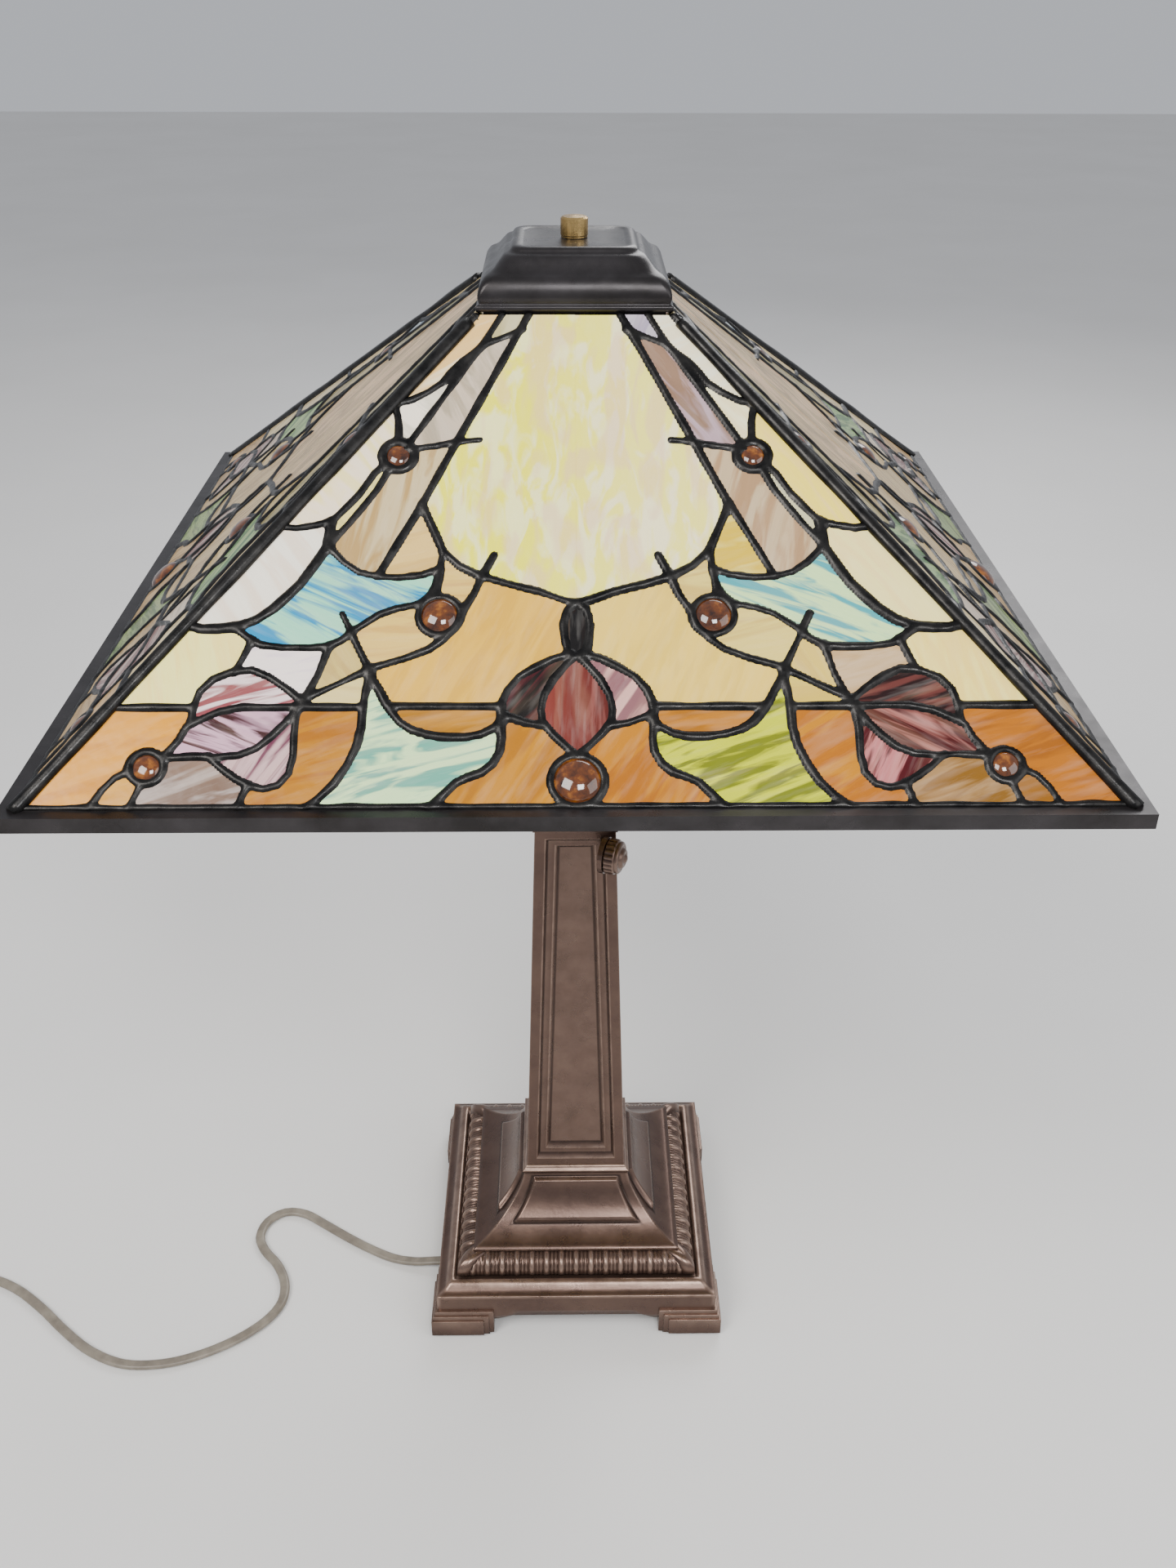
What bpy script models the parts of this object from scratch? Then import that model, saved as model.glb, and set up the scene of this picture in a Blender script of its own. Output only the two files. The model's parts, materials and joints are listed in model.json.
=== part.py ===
"""Table lamp with a four-sided leaded glass shade on a square cast column and stepped base.

Metres, +Z up. The origin is on the ground under the middle of the base. The front of the lamp
faces -Y. Square mouldings are profiles of (half width, height) swept round four corners, and
round pieces are profiles of (radius, height) turned about their own axis.
"""
import math

import bmesh
import bpy
from mathutils import Matrix, Vector

MM = 0.001
GAP = 0.3 * MM
SIDES = ("front", "right", "back", "left")
CORNERS = {
    "front_left": (-1, -1),
    "front_right": (1, -1),
    "back_right": (1, 1),
    "back_left": (-1, 1),
}

# Base, from the ground up.
PAD_THICK = 1.2 * MM
FOOT_OUTER = 81.2 * MM
FOOT_WIDE = 35.0 * MM
FOOT_TOP = 18.2 * MM
FOOT_LEVELS = 3
FOOT_STEP = 1.0 * MM
FOOT_MARGIN = 2.8 * MM
PAD_INSET = 2.5 * MM
PLINTH_HALF = 77.7 * MM
PLINTH_BOTTOM = 10.7 * MM
PLINTH_TOP = 28.9 * MM
LEDGE_Z = 31.7 * MM
OVOLO_HALF = 68.6 * MM
OVOLO_TOP = 33.3 * MM
WALL = 3.0 * MM
GADROON_HALF = 67.4 * MM
GADROON_INNER = 52.0 * MM
GADROON_TOP = 41.9 * MM
LIP_HALF = 57.4 * MM
LIP_TOP = 44.3 * MM
NECK_HALF = 29.4 * MM
NECK_Z = 75.0 * MM
SKIRT_TOP = 79.0 * MM

# Column and what stands on it.
COLUMN_BOTTOM_HALF = 27.5 * MM
COLUMN_TOP_HALF = 20.3 * MM
COLUMN_TOP = 298.0 * MM
HEAD_HALF = 21.2 * MM
HEAD_THICK = 3.4 * MM
PIPE_RADIUS = 4.8 * MM
PIPE_BORE = 3.4 * MM
PIPE_HOLE = 5.4 * MM
PIPE_TOP = 330.0 * MM
CLUSTER_RADIUS = 17.0 * MM
CLUSTER_TALL = 22.0 * MM
RISER_RADIUS = 3.17 * MM

# Shade.
RIM_HALF = 203.0 * MM
RIM_FLANGE = 6.0 * MM
RIM_TALL = 6.0 * MM
RIM_TOP = 420.0 * MM
RIM_SHEET = 1.0 * MM
CAP_HALF = 39.3 * MM
CAP_BOTTOM = 554.3 * MM
GLASS_THICK = 3.0 * MM
GLASS_FOOT_HALF = RIM_HALF - RIM_FLANGE
GLASS_SLOPE = math.atan2(CAP_BOTTOM - 0.4 * MM - RIM_TOP, GLASS_FOOT_HALF - CAP_HALF)
GLASS_TOP_HALF = 39.6 * MM
CAME_RADIUS = 2.2 * MM

# Finial.
PLATE_Z = 575.6 * MM
FINIAL_RADIUS = 5.7 * MM
FINIAL_BORE_DEPTH = 5.4 * MM
FINIAL_CHAMFER = 1.0 * MM
WASHER_RADIUS = 5.5 * MM
WASHER_THICK = 0.6 * MM
FINIAL_TOP = 584.2 * MM

# Sockets and bulbs.
SOCKET_TILT = math.radians(50.0)
SOCKET_START = Vector((27.0 * MM, 0.0, 318.0 * MM))

# Switch knob: its axis leaves the front right of the column's head.
KNOB_AXIS_TURN = math.radians(-20.0)
KNOB_SEAT = Vector((16.0 * MM, -31.0 * MM, 291.0 * MM))
KNOB_RADIUS = 9.0 * MM

# Cord.
CORD_TUBE_RADIUS = 1.9 * MM
CORD_REST = 2.1 * MM
COIL_CENTRE = Vector((-0.404, 0.004))
COIL_INNER = 26.0 * MM
COIL_OUTER = 38.3 * MM
COIL_TALL = 12.5 * MM

LAMP = None
CUTTERS = None
MATERIALS = {}


def start_scene():
    """Empties the scene and makes the lamp's collection and the cutters' one."""
    global LAMP, CUTTERS
    for obj in list(bpy.data.objects):
        bpy.data.objects.remove(obj, do_unlink=True)
    LAMP = bpy.data.collections.new("table_lamp")
    CUTTERS = bpy.data.collections.new("cutters")
    bpy.context.scene.collection.children.link(LAMP)
    bpy.context.scene.collection.children.link(CUTTERS)


def make_material(name, colour, roughness, metallic=0.0, transmission=0.0):
    """Makes one Principled material and keeps it by name."""
    material = bpy.data.materials.new(name)
    material.use_nodes = True
    shader = material.node_tree.nodes["Principled BSDF"]
    shader.inputs["Base Color"].default_value = (*colour, 1.0)
    shader.inputs["Roughness"].default_value = roughness
    shader.inputs["Metallic"].default_value = metallic
    shader.inputs["Transmission Weight"].default_value = transmission
    MATERIALS[name] = material


def make_materials():
    """Makes every material that the lamp uses."""
    make_material("bronze_casting", (0.12, 0.08, 0.06), 0.42, 0.7)
    make_material("dark_patina", (0.05, 0.05, 0.05), 0.40, 0.8)
    make_material("art_glass", (0.80, 0.72, 0.52), 0.25)
    make_material("solder_patina", (0.06, 0.06, 0.06), 0.35, 0.8)
    make_material("brass", (0.62, 0.46, 0.20), 0.28, 1.0)
    make_material("steel", (0.55, 0.55, 0.55), 0.35, 1.0)
    make_material("cast_iron", (0.08, 0.08, 0.08), 0.75, 0.5)
    make_material("felt", (0.03, 0.05, 0.03), 0.95)
    make_material("phenolic", (0.03, 0.02, 0.02), 0.45)
    make_material("porcelain", (0.85, 0.84, 0.80), 0.20)
    make_material("frosted_bulb", (0.92, 0.92, 0.90), 0.30, 0.0, 0.4)
    make_material("cord_vinyl", (0.18, 0.16, 0.13), 0.50)


def add(name, data, material, hidden=False):
    """Adds an object for a mesh or curve, in the lamp or among the cutters."""
    obj = bpy.data.objects.new(name, data)
    if hidden:
        CUTTERS.objects.link(obj)
        obj.hide_render = True
        obj.display_type = "WIRE"
    else:
        LAMP.objects.link(obj)
        data.materials.append(MATERIALS[material])
    return obj


def swept(name, profile, material, steps, closed, smooth):
    """Sweeps a profile of (x, z) points once round Z with a Screw modifier."""
    mesh = bpy.data.meshes.new(name)
    edges = [(i, i + 1) for i in range(len(profile) - 1)]
    if closed:
        edges.append((len(profile) - 1, 0))
    mesh.from_pydata([(x, 0.0, z) for x, z in profile], edges, [])
    obj = add(name, mesh, material)
    screw = obj.modifiers.new("turn", "SCREW")
    screw.steps = steps
    screw.render_steps = steps
    screw.use_merge_vertices = True
    screw.merge_threshold = 0.01 * MM
    screw.use_smooth_shade = smooth
    if not closed:
        weld = obj.modifiers.new("poles", "WELD")
        weld.merge_threshold = 0.01 * MM
    return obj


def square_moulding(name, profile, material):
    """A mitred square ring from a closed profile of (half width, z), outer side first, downwards."""
    root_two = math.sqrt(2.0)
    corner = [(half * root_two, z) for half, z in profile]
    obj = swept(name, corner, material, 4, True, False)
    obj.rotation_euler.z = math.radians(45.0)
    return obj


def turned_ring(name, profile, material, steps=24):
    """A round ring or tube from a closed profile of (radius, z), outer side first, downwards."""
    return swept(name, profile, material, steps, True, steps > 8)


def turned_solid(name, profile, material, steps=24):
    """A solid of revolution from an open profile that starts and ends on the axis, top to bottom."""
    return swept(name, profile, material, steps, False, steps > 8)


def box(name, low, high, material, hidden=False):
    """A rectangular block between two corners."""
    low = Vector(low)
    high = Vector(high)
    bm = bmesh.new()
    bmesh.ops.create_cube(bm, size=1.0)
    bmesh.ops.scale(bm, vec=high - low, verts=bm.verts)
    bmesh.ops.translate(bm, vec=(low + high) / 2.0, verts=bm.verts)
    mesh = bpy.data.meshes.new(name)
    bm.to_mesh(mesh)
    bm.free()
    return add(name, mesh, material, hidden)


def tapered_block(name, bottom_half, top_half, bottom, top, material, hidden=False, frames=()):
    """A square block that tapers upwards.

    Each frame (side, top, bottom, depth) is a rectangle on a side face: its insets from the face's
    edges and how far it is pushed in. The frames nest, and narrow walls join one to the next.
    """
    verts = []
    faces = []
    for side in range(4):
        turn = Matrix.Rotation(math.radians(90.0 * side), 3, "Z")
        first = len(verts)
        for inset, drop, rise, depth in ((0.0, 0.0, 0.0, 0.0),) + frames:
            for sign, height in ((-1, bottom + rise), (1, bottom + rise), (1, top - drop), (-1, top - drop)):
                share = (height - bottom) / (top - bottom)
                half = bottom_half + (top_half - bottom_half) * share
                verts.append(turn @ Vector((sign * (half - inset), depth - half, height)))
        for ring in range(len(frames)):
            low = first + 4 * ring
            for corner in range(4):
                following = (corner + 1) % 4
                faces.append((low + corner, low + following, low + 4 + following, low + 4 + corner))
        last = first + 4 * len(frames)
        faces.append((last, last + 1, last + 2, last + 3))
    stride = 4 * (len(frames) + 1)
    faces.append(tuple(stride * side for side in reversed(range(4))))
    faces.append(tuple(stride * side + 3 for side in range(4)))
    mesh = bpy.data.meshes.new(name)
    mesh.from_pydata(verts, [], faces)
    bm = bmesh.new()
    bm.from_mesh(mesh)
    bmesh.ops.remove_doubles(bm, verts=bm.verts, dist=0.001 * MM)
    bm.to_mesh(mesh)
    bm.free()
    return add(name, mesh, material, hidden)


def boolean(obj, other, operation):
    """Cuts or joins with a Boolean modifier."""
    modifier = obj.modifiers.new(operation.lower(), "BOOLEAN")
    modifier.operation = operation
    modifier.object = other


def tube(name, points, radius, material, resolution=2):
    """A round bar along a chain of points, with closed ends."""
    curve = bpy.data.curves.new(name, "CURVE")
    curve.dimensions = "3D"
    curve.bevel_depth = radius
    curve.bevel_resolution = resolution
    curve.use_fill_caps = True
    spline = curve.splines.new("POLY")
    spline.points.add(len(points) - 1)
    for target, point in zip(spline.points, points):
        target.co = (*point, 1.0)
    return add(name, curve, material)


def plate(name, outline, thick, material):
    """A flat plate from an outline of (x, y) points, centred on its own plane."""
    curve = bpy.data.curves.new(name, "CURVE")
    curve.dimensions = "2D"
    curve.fill_mode = "BOTH"
    curve.extrude = thick / 2.0
    spline = curve.splines.new("POLY")
    spline.points.add(len(outline) - 1)
    for target, (x, y) in zip(spline.points, outline):
        target.co = (x, y, 0.0, 1.0)
    spline.use_cyclic_u = True
    return add(name, curve, material)


def arc(centre, radius_x, radius_z, start, end, count):
    """Points on an elliptical arc in the profile plane, angles in degrees from +X towards +Z."""
    points = []
    for step in range(count + 1):
        angle = math.radians(start + (end - start) * step / count)
        x = centre[0] + radius_x * math.cos(angle)
        z = centre[1] + radius_z * math.sin(angle)
        points.append((x, z))
    return points


def flare(top_half, top_z, bottom_half, bottom_z, count):
    """Points down a hollow flare that leaves the neck upright and meets the lip nearly level."""
    points = []
    for step in range(count + 1):
        drop = (step / count) ** 0.7
        spread = 1.0 - (1.0 - drop**1.7) ** 0.7
        half = top_half + (bottom_half - top_half) * spread
        points.append((half, top_z + (bottom_z - top_z) * drop))
    return points


# ---------------------------------------------------------------- base


def corner_block(signs, outer, inner, bottom, top):
    """The lowest and highest corners of a block under one corner of the base."""
    sides = [sorted((sign * outer, sign * inner)) for sign in signs]
    low = (sides[0][0], sides[1][0], bottom)
    high = (sides[0][1], sides[1][1], top)
    return low, high


def make_feet():
    """Four corner brackets that wrap the plinth's corners, each on a felt pad.

    Each bracket's outer faces rise in three levels, every level set back from the last at its edges.
    """
    keep_out = PLINTH_HALF + GAP
    floor_z = PLINTH_BOTTOM - GAP
    envelope_top = 2.0 * FOOT_TOP
    cutter = box(
        "plinth_envelope",
        (-keep_out, -keep_out, floor_z),
        (keep_out, keep_out, envelope_top),
        None,
        hidden=True,
    )
    foot_inner = FOOT_OUTER - FOOT_WIDE
    for corner, signs in CORNERS.items():
        foot = None
        for level in range(FOOT_LEVELS):
            outer = FOOT_OUTER - (FOOT_LEVELS - 1 - level) * FOOT_STEP
            inner = foot_inner + level * FOOT_MARGIN
            top = FOOT_TOP - level * FOOT_MARGIN
            low, high = corner_block(signs, outer, inner, PAD_THICK + GAP, top)
            if foot is None:
                foot = box(f"foot_{corner}", low, high, "bronze_casting")
            else:
                block = box(f"foot_{corner}_level_{level}", low, high, None, hidden=True)
                boolean(foot, block, "UNION")
        boolean(foot, cutter, "DIFFERENCE")
        low, high = corner_block(signs, FOOT_OUTER - PAD_INSET, foot_inner + PAD_INSET, 0.0, PAD_THICK)
        box(f"foot_pad_{corner}", low, high, "felt")


def make_plinth():
    """The square plinth casting with its rounded top moulding, open underneath."""
    ovolo = arc((OVOLO_HALF, PLINTH_TOP), PLINTH_HALF - OVOLO_HALF, OVOLO_TOP - PLINTH_TOP, 90, 0, 6)
    inner_half = PLINTH_HALF - WALL
    profile = [(50.0 * MM, LEDGE_Z), (OVOLO_HALF - 0.6 * MM, LEDGE_Z)]
    profile += ovolo
    profile += [
        (PLINTH_HALF, PLINTH_BOTTOM),
        (inner_half, PLINTH_BOTTOM),
        (inner_half, PLINTH_TOP - WALL),
        (inner_half - 6.0 * MM, LEDGE_Z - WALL),
        (50.0 * MM, LEDGE_Z - WALL),
    ]
    square_moulding("plinth", profile, "bronze_casting")


def make_gadroon_band():
    """The rounded band between the plinth and the flared skirt."""
    bottom = LEDGE_Z + GAP
    bulge_z = bottom + 2.0 * MM
    bulge = arc((LIP_HALF, bulge_z), GADROON_HALF - LIP_HALF, GADROON_TOP - bulge_z, 90, 0, 6)
    profile = [(GADROON_INNER, GADROON_TOP)] + bulge
    profile += [(GADROON_HALF - 0.6 * MM, bottom), (GADROON_INNER, bottom)]
    square_moulding("gadroon_band", profile, "bronze_casting")


def make_skirt():
    """The hollow flared casting that carries the column, with a collar at its neck."""
    outside = flare(NECK_HALF, NECK_Z, LIP_HALF, LIP_TOP, 10)
    inside = flare(NECK_HALF - WALL, NECK_Z - WALL, LIP_HALF - WALL, LIP_TOP - 1.5 * MM, 8)
    lip_bottom = GADROON_TOP + GAP
    profile = [
        (23.0 * MM, SKIRT_TOP),
        (28.2 * MM, SKIRT_TOP),
        (29.8 * MM, 77.6 * MM),
        (29.8 * MM, 75.8 * MM),
    ]
    profile += outside
    profile += [(LIP_HALF, lip_bottom), (LIP_HALF - 2.0 * MM, lip_bottom)]
    profile += inside[::-1]
    profile.append((23.0 * MM, NECK_Z))
    square_moulding("flared_skirt", profile, "bronze_casting")


def make_column():
    """The hollow tapered column, with stepped recessed frames on its four faces."""
    bottom = SKIRT_TOP + GAP
    frames = (
        (5.6 * MM, 4.4 * MM, 4.7 * MM, 0.0),
        (6.9 * MM, 5.7 * MM, 7.6 * MM, 1.8 * MM),
        (10.6 * MM, 9.0 * MM, 10.8 * MM, 1.8 * MM),
        (12.6 * MM, 10.6 * MM, 14.0 * MM, 3.6 * MM),
    )
    column = tapered_block(
        "column", COLUMN_BOTTOM_HALF, COLUMN_TOP_HALF, bottom, COLUMN_TOP, "bronze_casting",
        frames=frames,
    )
    wall = 5.4 * MM
    slope = (COLUMN_BOTTOM_HALF - COLUMN_TOP_HALF) / (COLUMN_TOP - bottom)
    over = 2.0 * MM
    bore = tapered_block(
        "column_bore",
        COLUMN_BOTTOM_HALF - wall + slope * over,
        COLUMN_TOP_HALF - wall - slope * over,
        bottom - over,
        COLUMN_TOP + over,
        None,
        hidden=True,
    )
    boolean(column, bore, "DIFFERENCE")
    plate_low = COLUMN_TOP + GAP
    profile = [
        (PIPE_HOLE, plate_low + HEAD_THICK),
        (HEAD_HALF - 0.8 * MM, plate_low + HEAD_THICK),
        (HEAD_HALF, plate_low + HEAD_THICK - 0.8 * MM),
        (HEAD_HALF, plate_low),
        (PIPE_HOLE, plate_low),
    ]
    square_moulding("column_head", profile, "bronze_casting")


def make_base_insides():
    """The weight, its cover, and the threaded pipe with its washer and nut."""
    cover_half = PLINTH_HALF - WALL - 0.4 * MM
    cover_top = 12.4 * MM
    cover = [
        (PIPE_HOLE, cover_top),
        (cover_half, cover_top),
        (cover_half, 11.0 * MM),
        (PIPE_HOLE, 11.0 * MM),
    ]
    square_moulding("base_cover", cover, "steel")
    weight_top = LEDGE_Z - WALL - GAP
    weight = [
        (PIPE_HOLE, weight_top),
        (60.0 * MM, weight_top),
        (62.0 * MM, weight_top - 2.0 * MM),
        (62.0 * MM, cover_top + GAP),
        (PIPE_HOLE, cover_top + GAP),
    ]
    square_moulding("base_weight", weight, "cast_iron")
    washer = [(14.0 * MM, 10.7 * MM), (14.0 * MM, 9.0 * MM), (PIPE_HOLE, 9.0 * MM), (PIPE_HOLE, 10.7 * MM)]
    turned_ring("base_washer", washer, "steel")
    nut = [(9.5 * MM, 8.7 * MM), (9.5 * MM, 5.0 * MM), (5.9 * MM, 5.0 * MM), (5.9 * MM, 8.7 * MM)]
    turned_ring("base_nut", nut, "steel", steps=6)
    pipe = [(PIPE_RADIUS, PIPE_TOP), (PIPE_RADIUS, 4.0 * MM), (PIPE_BORE, 4.0 * MM), (PIPE_BORE, PIPE_TOP)]
    turned_ring("lamp_pipe", pipe, "steel", steps=16)


# ---------------------------------------------------------------- electrical cluster


def make_cluster():
    """The cluster body on the column's head, the reducing coupling, the riser and the shade seat."""
    low = COLUMN_TOP + GAP + HEAD_THICK + GAP
    top = low + CLUSTER_TALL
    body = [
        (PIPE_HOLE, top),
        (CLUSTER_RADIUS - 3.0 * MM, top),
        (CLUSTER_RADIUS, top - 3.0 * MM),
        (CLUSTER_RADIUS, low + 2.0 * MM),
        (CLUSTER_RADIUS - 2.0 * MM, low),
        (PIPE_HOLE, low),
    ]
    turned_ring("cluster_body", body, "brass")
    coupling_top = 346.0 * MM
    step_z = PIPE_TOP + 1.0 * MM
    coupling = [
        (5.6 * MM, coupling_top),
        (7.5 * MM, coupling_top - 3.0 * MM),
        (7.5 * MM, top + GAP),
        (PIPE_HOLE, top + GAP),
        (PIPE_HOLE, step_z),
        (RISER_RADIUS + GAP, step_z),
        (RISER_RADIUS + GAP, coupling_top),
    ]
    turned_ring("riser_coupling", coupling, "brass", steps=16)
    riser_top = PLATE_Z + 5.4 * MM
    riser = [(0.0, riser_top), (RISER_RADIUS, riser_top), (RISER_RADIUS, step_z + 1.0 * MM)]
    riser.append((0.0, step_z + 1.0 * MM))
    turned_solid("riser", riser, "steel", steps=16)
    seat_top = PLATE_Z - 2.4 * MM
    seat_low = seat_top - 1.8 * MM
    hole = RISER_RADIUS + GAP
    seat = [(14.0 * MM, seat_top), (14.0 * MM, seat_low), (hole, seat_low), (hole, seat_top)]
    turned_ring("shade_seat", seat, "steel")
    nut_top = seat_low - GAP
    nut_low = nut_top - 4.0 * MM
    nut = [(7.0 * MM, nut_top), (7.0 * MM, nut_low), (4.2 * MM, nut_low), (4.2 * MM, nut_top)]
    turned_ring("seat_nut", nut, "steel", steps=6)


def make_socket(side, direction):
    """One lamp socket with its arm, contact and bulb, tilted outwards from the cluster."""
    start = Vector((direction * SOCKET_START.x, 0.0, SOCKET_START.z))
    axis = Vector((direction * math.cos(SOCKET_TILT), 0.0, math.sin(SOCKET_TILT)))
    turn = axis.to_track_quat("Z", "Y").to_matrix().to_4x4()
    place = Matrix.Translation(start) @ turn
    pieces = []
    cup = [
        (10.0 * MM, 0.0),
        (17.0 * MM, 13.0 * MM),
        (17.0 * MM, 18.0 * MM),
        (16.0 * MM, 18.0 * MM),
        (16.0 * MM, 13.4 * MM),
        (9.4 * MM, 1.2 * MM),
        (3.5 * MM, 1.2 * MM),
        (3.5 * MM, 0.0),
    ]
    pieces.append(turned_ring(f"socket_cup_{side}", cup[::-1], "brass"))
    shell = [(16.6 * MM, 55.0 * MM), (16.6 * MM, 18.4 * MM), (15.6 * MM, 18.4 * MM), (15.6 * MM, 55.0 * MM)]
    pieces.append(turned_ring(f"socket_shell_{side}", shell, "brass"))
    core = [(0.0, 19.0 * MM), (13.0 * MM, 19.0 * MM), (13.0 * MM, 14.0 * MM), (0.0, 14.0 * MM)]
    pieces.append(turned_solid(f"socket_core_{side}", core, "porcelain", steps=16))
    cap = [(0.0, 19.6 * MM), (4.0 * MM, 19.6 * MM), (12.6 * MM, 24.0 * MM), (13.2 * MM, 26.0 * MM)]
    cap += [(13.2 * MM, 45.0 * MM), (12.0 * MM, 45.0 * MM), (0.0, 45.0 * MM)]
    pieces.append(turned_solid(f"bulb_cap_{side}", cap[::-1], "brass", steps=20))
    glass = [(0.0, 128.0 * MM)]
    glass += arc((0.0, 98.0 * MM), 30.0 * MM, 30.0 * MM, 70, -35, 7)
    glass += [(16.0 * MM, 60.0 * MM), (12.8 * MM, 52.0 * MM), (12.8 * MM, 45.4 * MM), (0.0, 45.4 * MM)]
    pieces.append(turned_solid(f"bulb_glass_{side}", glass, "frosted_bulb", steps=20))
    for piece in pieces:
        piece.matrix_world = place
    arm_start = Vector((direction * (CLUSTER_RADIUS + GAP), 0.0, 312.0 * MM))
    arm_level = arm_start + Vector((direction * 2.6 * MM, 0.0, 0.0))
    arm_end = start - axis * GAP
    arm_rise = arm_end - axis * 3.6 * MM
    tube(f"socket_arm_{side}", (arm_start, arm_level, arm_rise, arm_end), 2.9 * MM, "brass")


# ---------------------------------------------------------------- switch


def make_switch():
    """The round switch housing on a lug at the column's head, its shaft and its fluted knob."""
    axis = Vector((math.cos(KNOB_AXIS_TURN), math.sin(KNOB_AXIS_TURN), 0.0))
    place = Matrix.Translation(KNOB_SEAT) @ axis.to_track_quat("Z", "Y").to_matrix().to_4x4()
    back = -GAP - 2.5 * MM
    shaft_hole = 2.4 * MM
    housing = [(9.3 * MM, -GAP), (9.3 * MM, back), (shaft_hole, back), (shaft_hole, -GAP)]
    disc = turned_ring("switch_housing", housing, "bronze_casting")
    disc.matrix_world = place
    face_y = -(COLUMN_TOP_HALF + 0.3 * MM) - GAP
    lug = box(
        "switch_lug",
        (KNOB_SEAT.x - 3.4 * MM, face_y - 5.0 * MM, KNOB_SEAT.z - 3.0 * MM),
        (KNOB_SEAT.x + 0.4 * MM, face_y, KNOB_SEAT.z + 3.0 * MM),
        None,
        hidden=True,
    )
    boolean(disc, lug, "UNION")
    shaft = [(0.0, 3.4 * MM), (2.0 * MM, 3.4 * MM), (2.0 * MM, back), (0.0, back)]
    turned_solid("switch_shaft", shaft, "steel", steps=12).matrix_world = place
    knob = arc((0.0, 5.0 * MM), KNOB_RADIUS - 0.6 * MM, 5.0 * MM, 90, 0, 5)
    knob[0] = (0.0, knob[0][1])
    knob += [
        (KNOB_RADIUS, 4.6 * MM),
        (KNOB_RADIUS, 0.0),
        (shaft_hole, 0.0),
        (shaft_hole, 3.8 * MM),
        (0.0, 3.8 * MM),
    ]
    turned_solid("switch_knob", knob, "bronze_casting").matrix_world = place


# ---------------------------------------------------------------- shade


def slope_point(along):
    """Half width and height on the glass's outer face at a distance up the slope from the rim."""
    half = GLASS_FOOT_HALF - along * math.cos(GLASS_SLOPE)
    return half, RIM_TOP + along * math.sin(GLASS_SLOPE)


def make_glass_panels():
    """Four sloping glass panels, each a flat trapezium between two hip cames."""
    low = 0.8 * MM
    high = (GLASS_FOOT_HALF - GLASS_TOP_HALF) / math.cos(GLASS_SLOPE)
    clear = 4.6 * MM
    low_half = slope_point(low)[0] - clear
    high_half = slope_point(high)[0] - clear
    outline = ((-low_half, low), (low_half, low), (high_half, high), (-high_half, high))
    tilt = Matrix.Rotation(GLASS_SLOPE, 4, "X")
    sink = Matrix.Translation((0.0, 0.0, -GLASS_THICK / 2.0))
    foot = Matrix.Translation((0.0, -GLASS_FOOT_HALF, RIM_TOP))
    for index, side in enumerate(SIDES):
        panel = plate(f"glass_panel_{side}", outline, GLASS_THICK, "art_glass")
        panel.matrix_world = Matrix.Rotation(math.radians(90.0 * index), 4, "Z") @ foot @ tilt @ sink


def make_hip_cames():
    """Four lead cames down the corners of the shade."""
    drop = 1.4 * MM
    for corner, (sx, sy) in CORNERS.items():
        points = []
        for along in (5.0 * MM, 203.0 * MM):
            half, height = slope_point(along)
            points.append(Vector((sx * half, sy * half, height - drop)))
        tube(f"hip_came_{corner}", points, CAME_RADIUS, "solder_patina")


def make_rim_and_ring():
    """The angle-section rim round the shade's foot and the square ring round its top."""
    inner = GLASS_FOOT_HALF
    rim = [
        (inner, RIM_TOP),
        (RIM_HALF, RIM_TOP),
        (RIM_HALF, RIM_TOP - RIM_TALL),
        (RIM_HALF - RIM_SHEET, RIM_TOP - RIM_TALL),
        (RIM_HALF - RIM_SHEET, RIM_TOP - RIM_SHEET),
        (inner, RIM_TOP - RIM_SHEET),
    ]
    square_moulding("shade_rim", rim, "dark_patina")
    ring_half = 36.5 * MM
    ring_top = 556.5 * MM
    ring = [
        (ring_half - 3.0 * MM, ring_top),
        (ring_half, ring_top),
        (ring_half, ring_top - 5.0 * MM),
        (ring_half - 3.0 * MM, ring_top - 5.0 * MM),
    ]
    square_moulding("shade_top_ring", ring, "dark_patina")


def make_vent_cap():
    """The pressed cap: flat flange, round band, sloping sides and a raised plate with a hole."""
    hole = 3.9 * MM
    outside = [
        (hole, PLATE_Z),
        (22.4 * MM, PLATE_Z),
        (23.0 * MM, PLATE_Z + 0.7 * MM),
        (23.9 * MM, PLATE_Z + 0.6 * MM),
        (24.6 * MM, PLATE_Z - 2.0 * MM),
        (28.2 * MM, 573.2 * MM),
        (33.2 * MM, 566.6 * MM),
    ]
    outside += arc((33.6 * MM, 559.2 * MM), 5.0 * MM, 6.4 * MM, 80, -10, 5)
    outside += [(38.0 * MM, 557.2 * MM), (CAP_HALF, 556.8 * MM), (CAP_HALF, CAP_BOTTOM)]
    inside = [
        (CAP_HALF - 1.0 * MM, CAP_BOTTOM),
        (37.2 * MM, 558.0 * MM),
        (36.6 * MM, 561.6 * MM),
        (32.4 * MM, 564.8 * MM),
        (27.2 * MM, 571.4 * MM),
        (21.6 * MM, PLATE_Z - 2.1 * MM),
        (hole, PLATE_Z - 2.1 * MM),
    ]
    square_moulding("vent_cap", outside + inside, "dark_patina")


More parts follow.
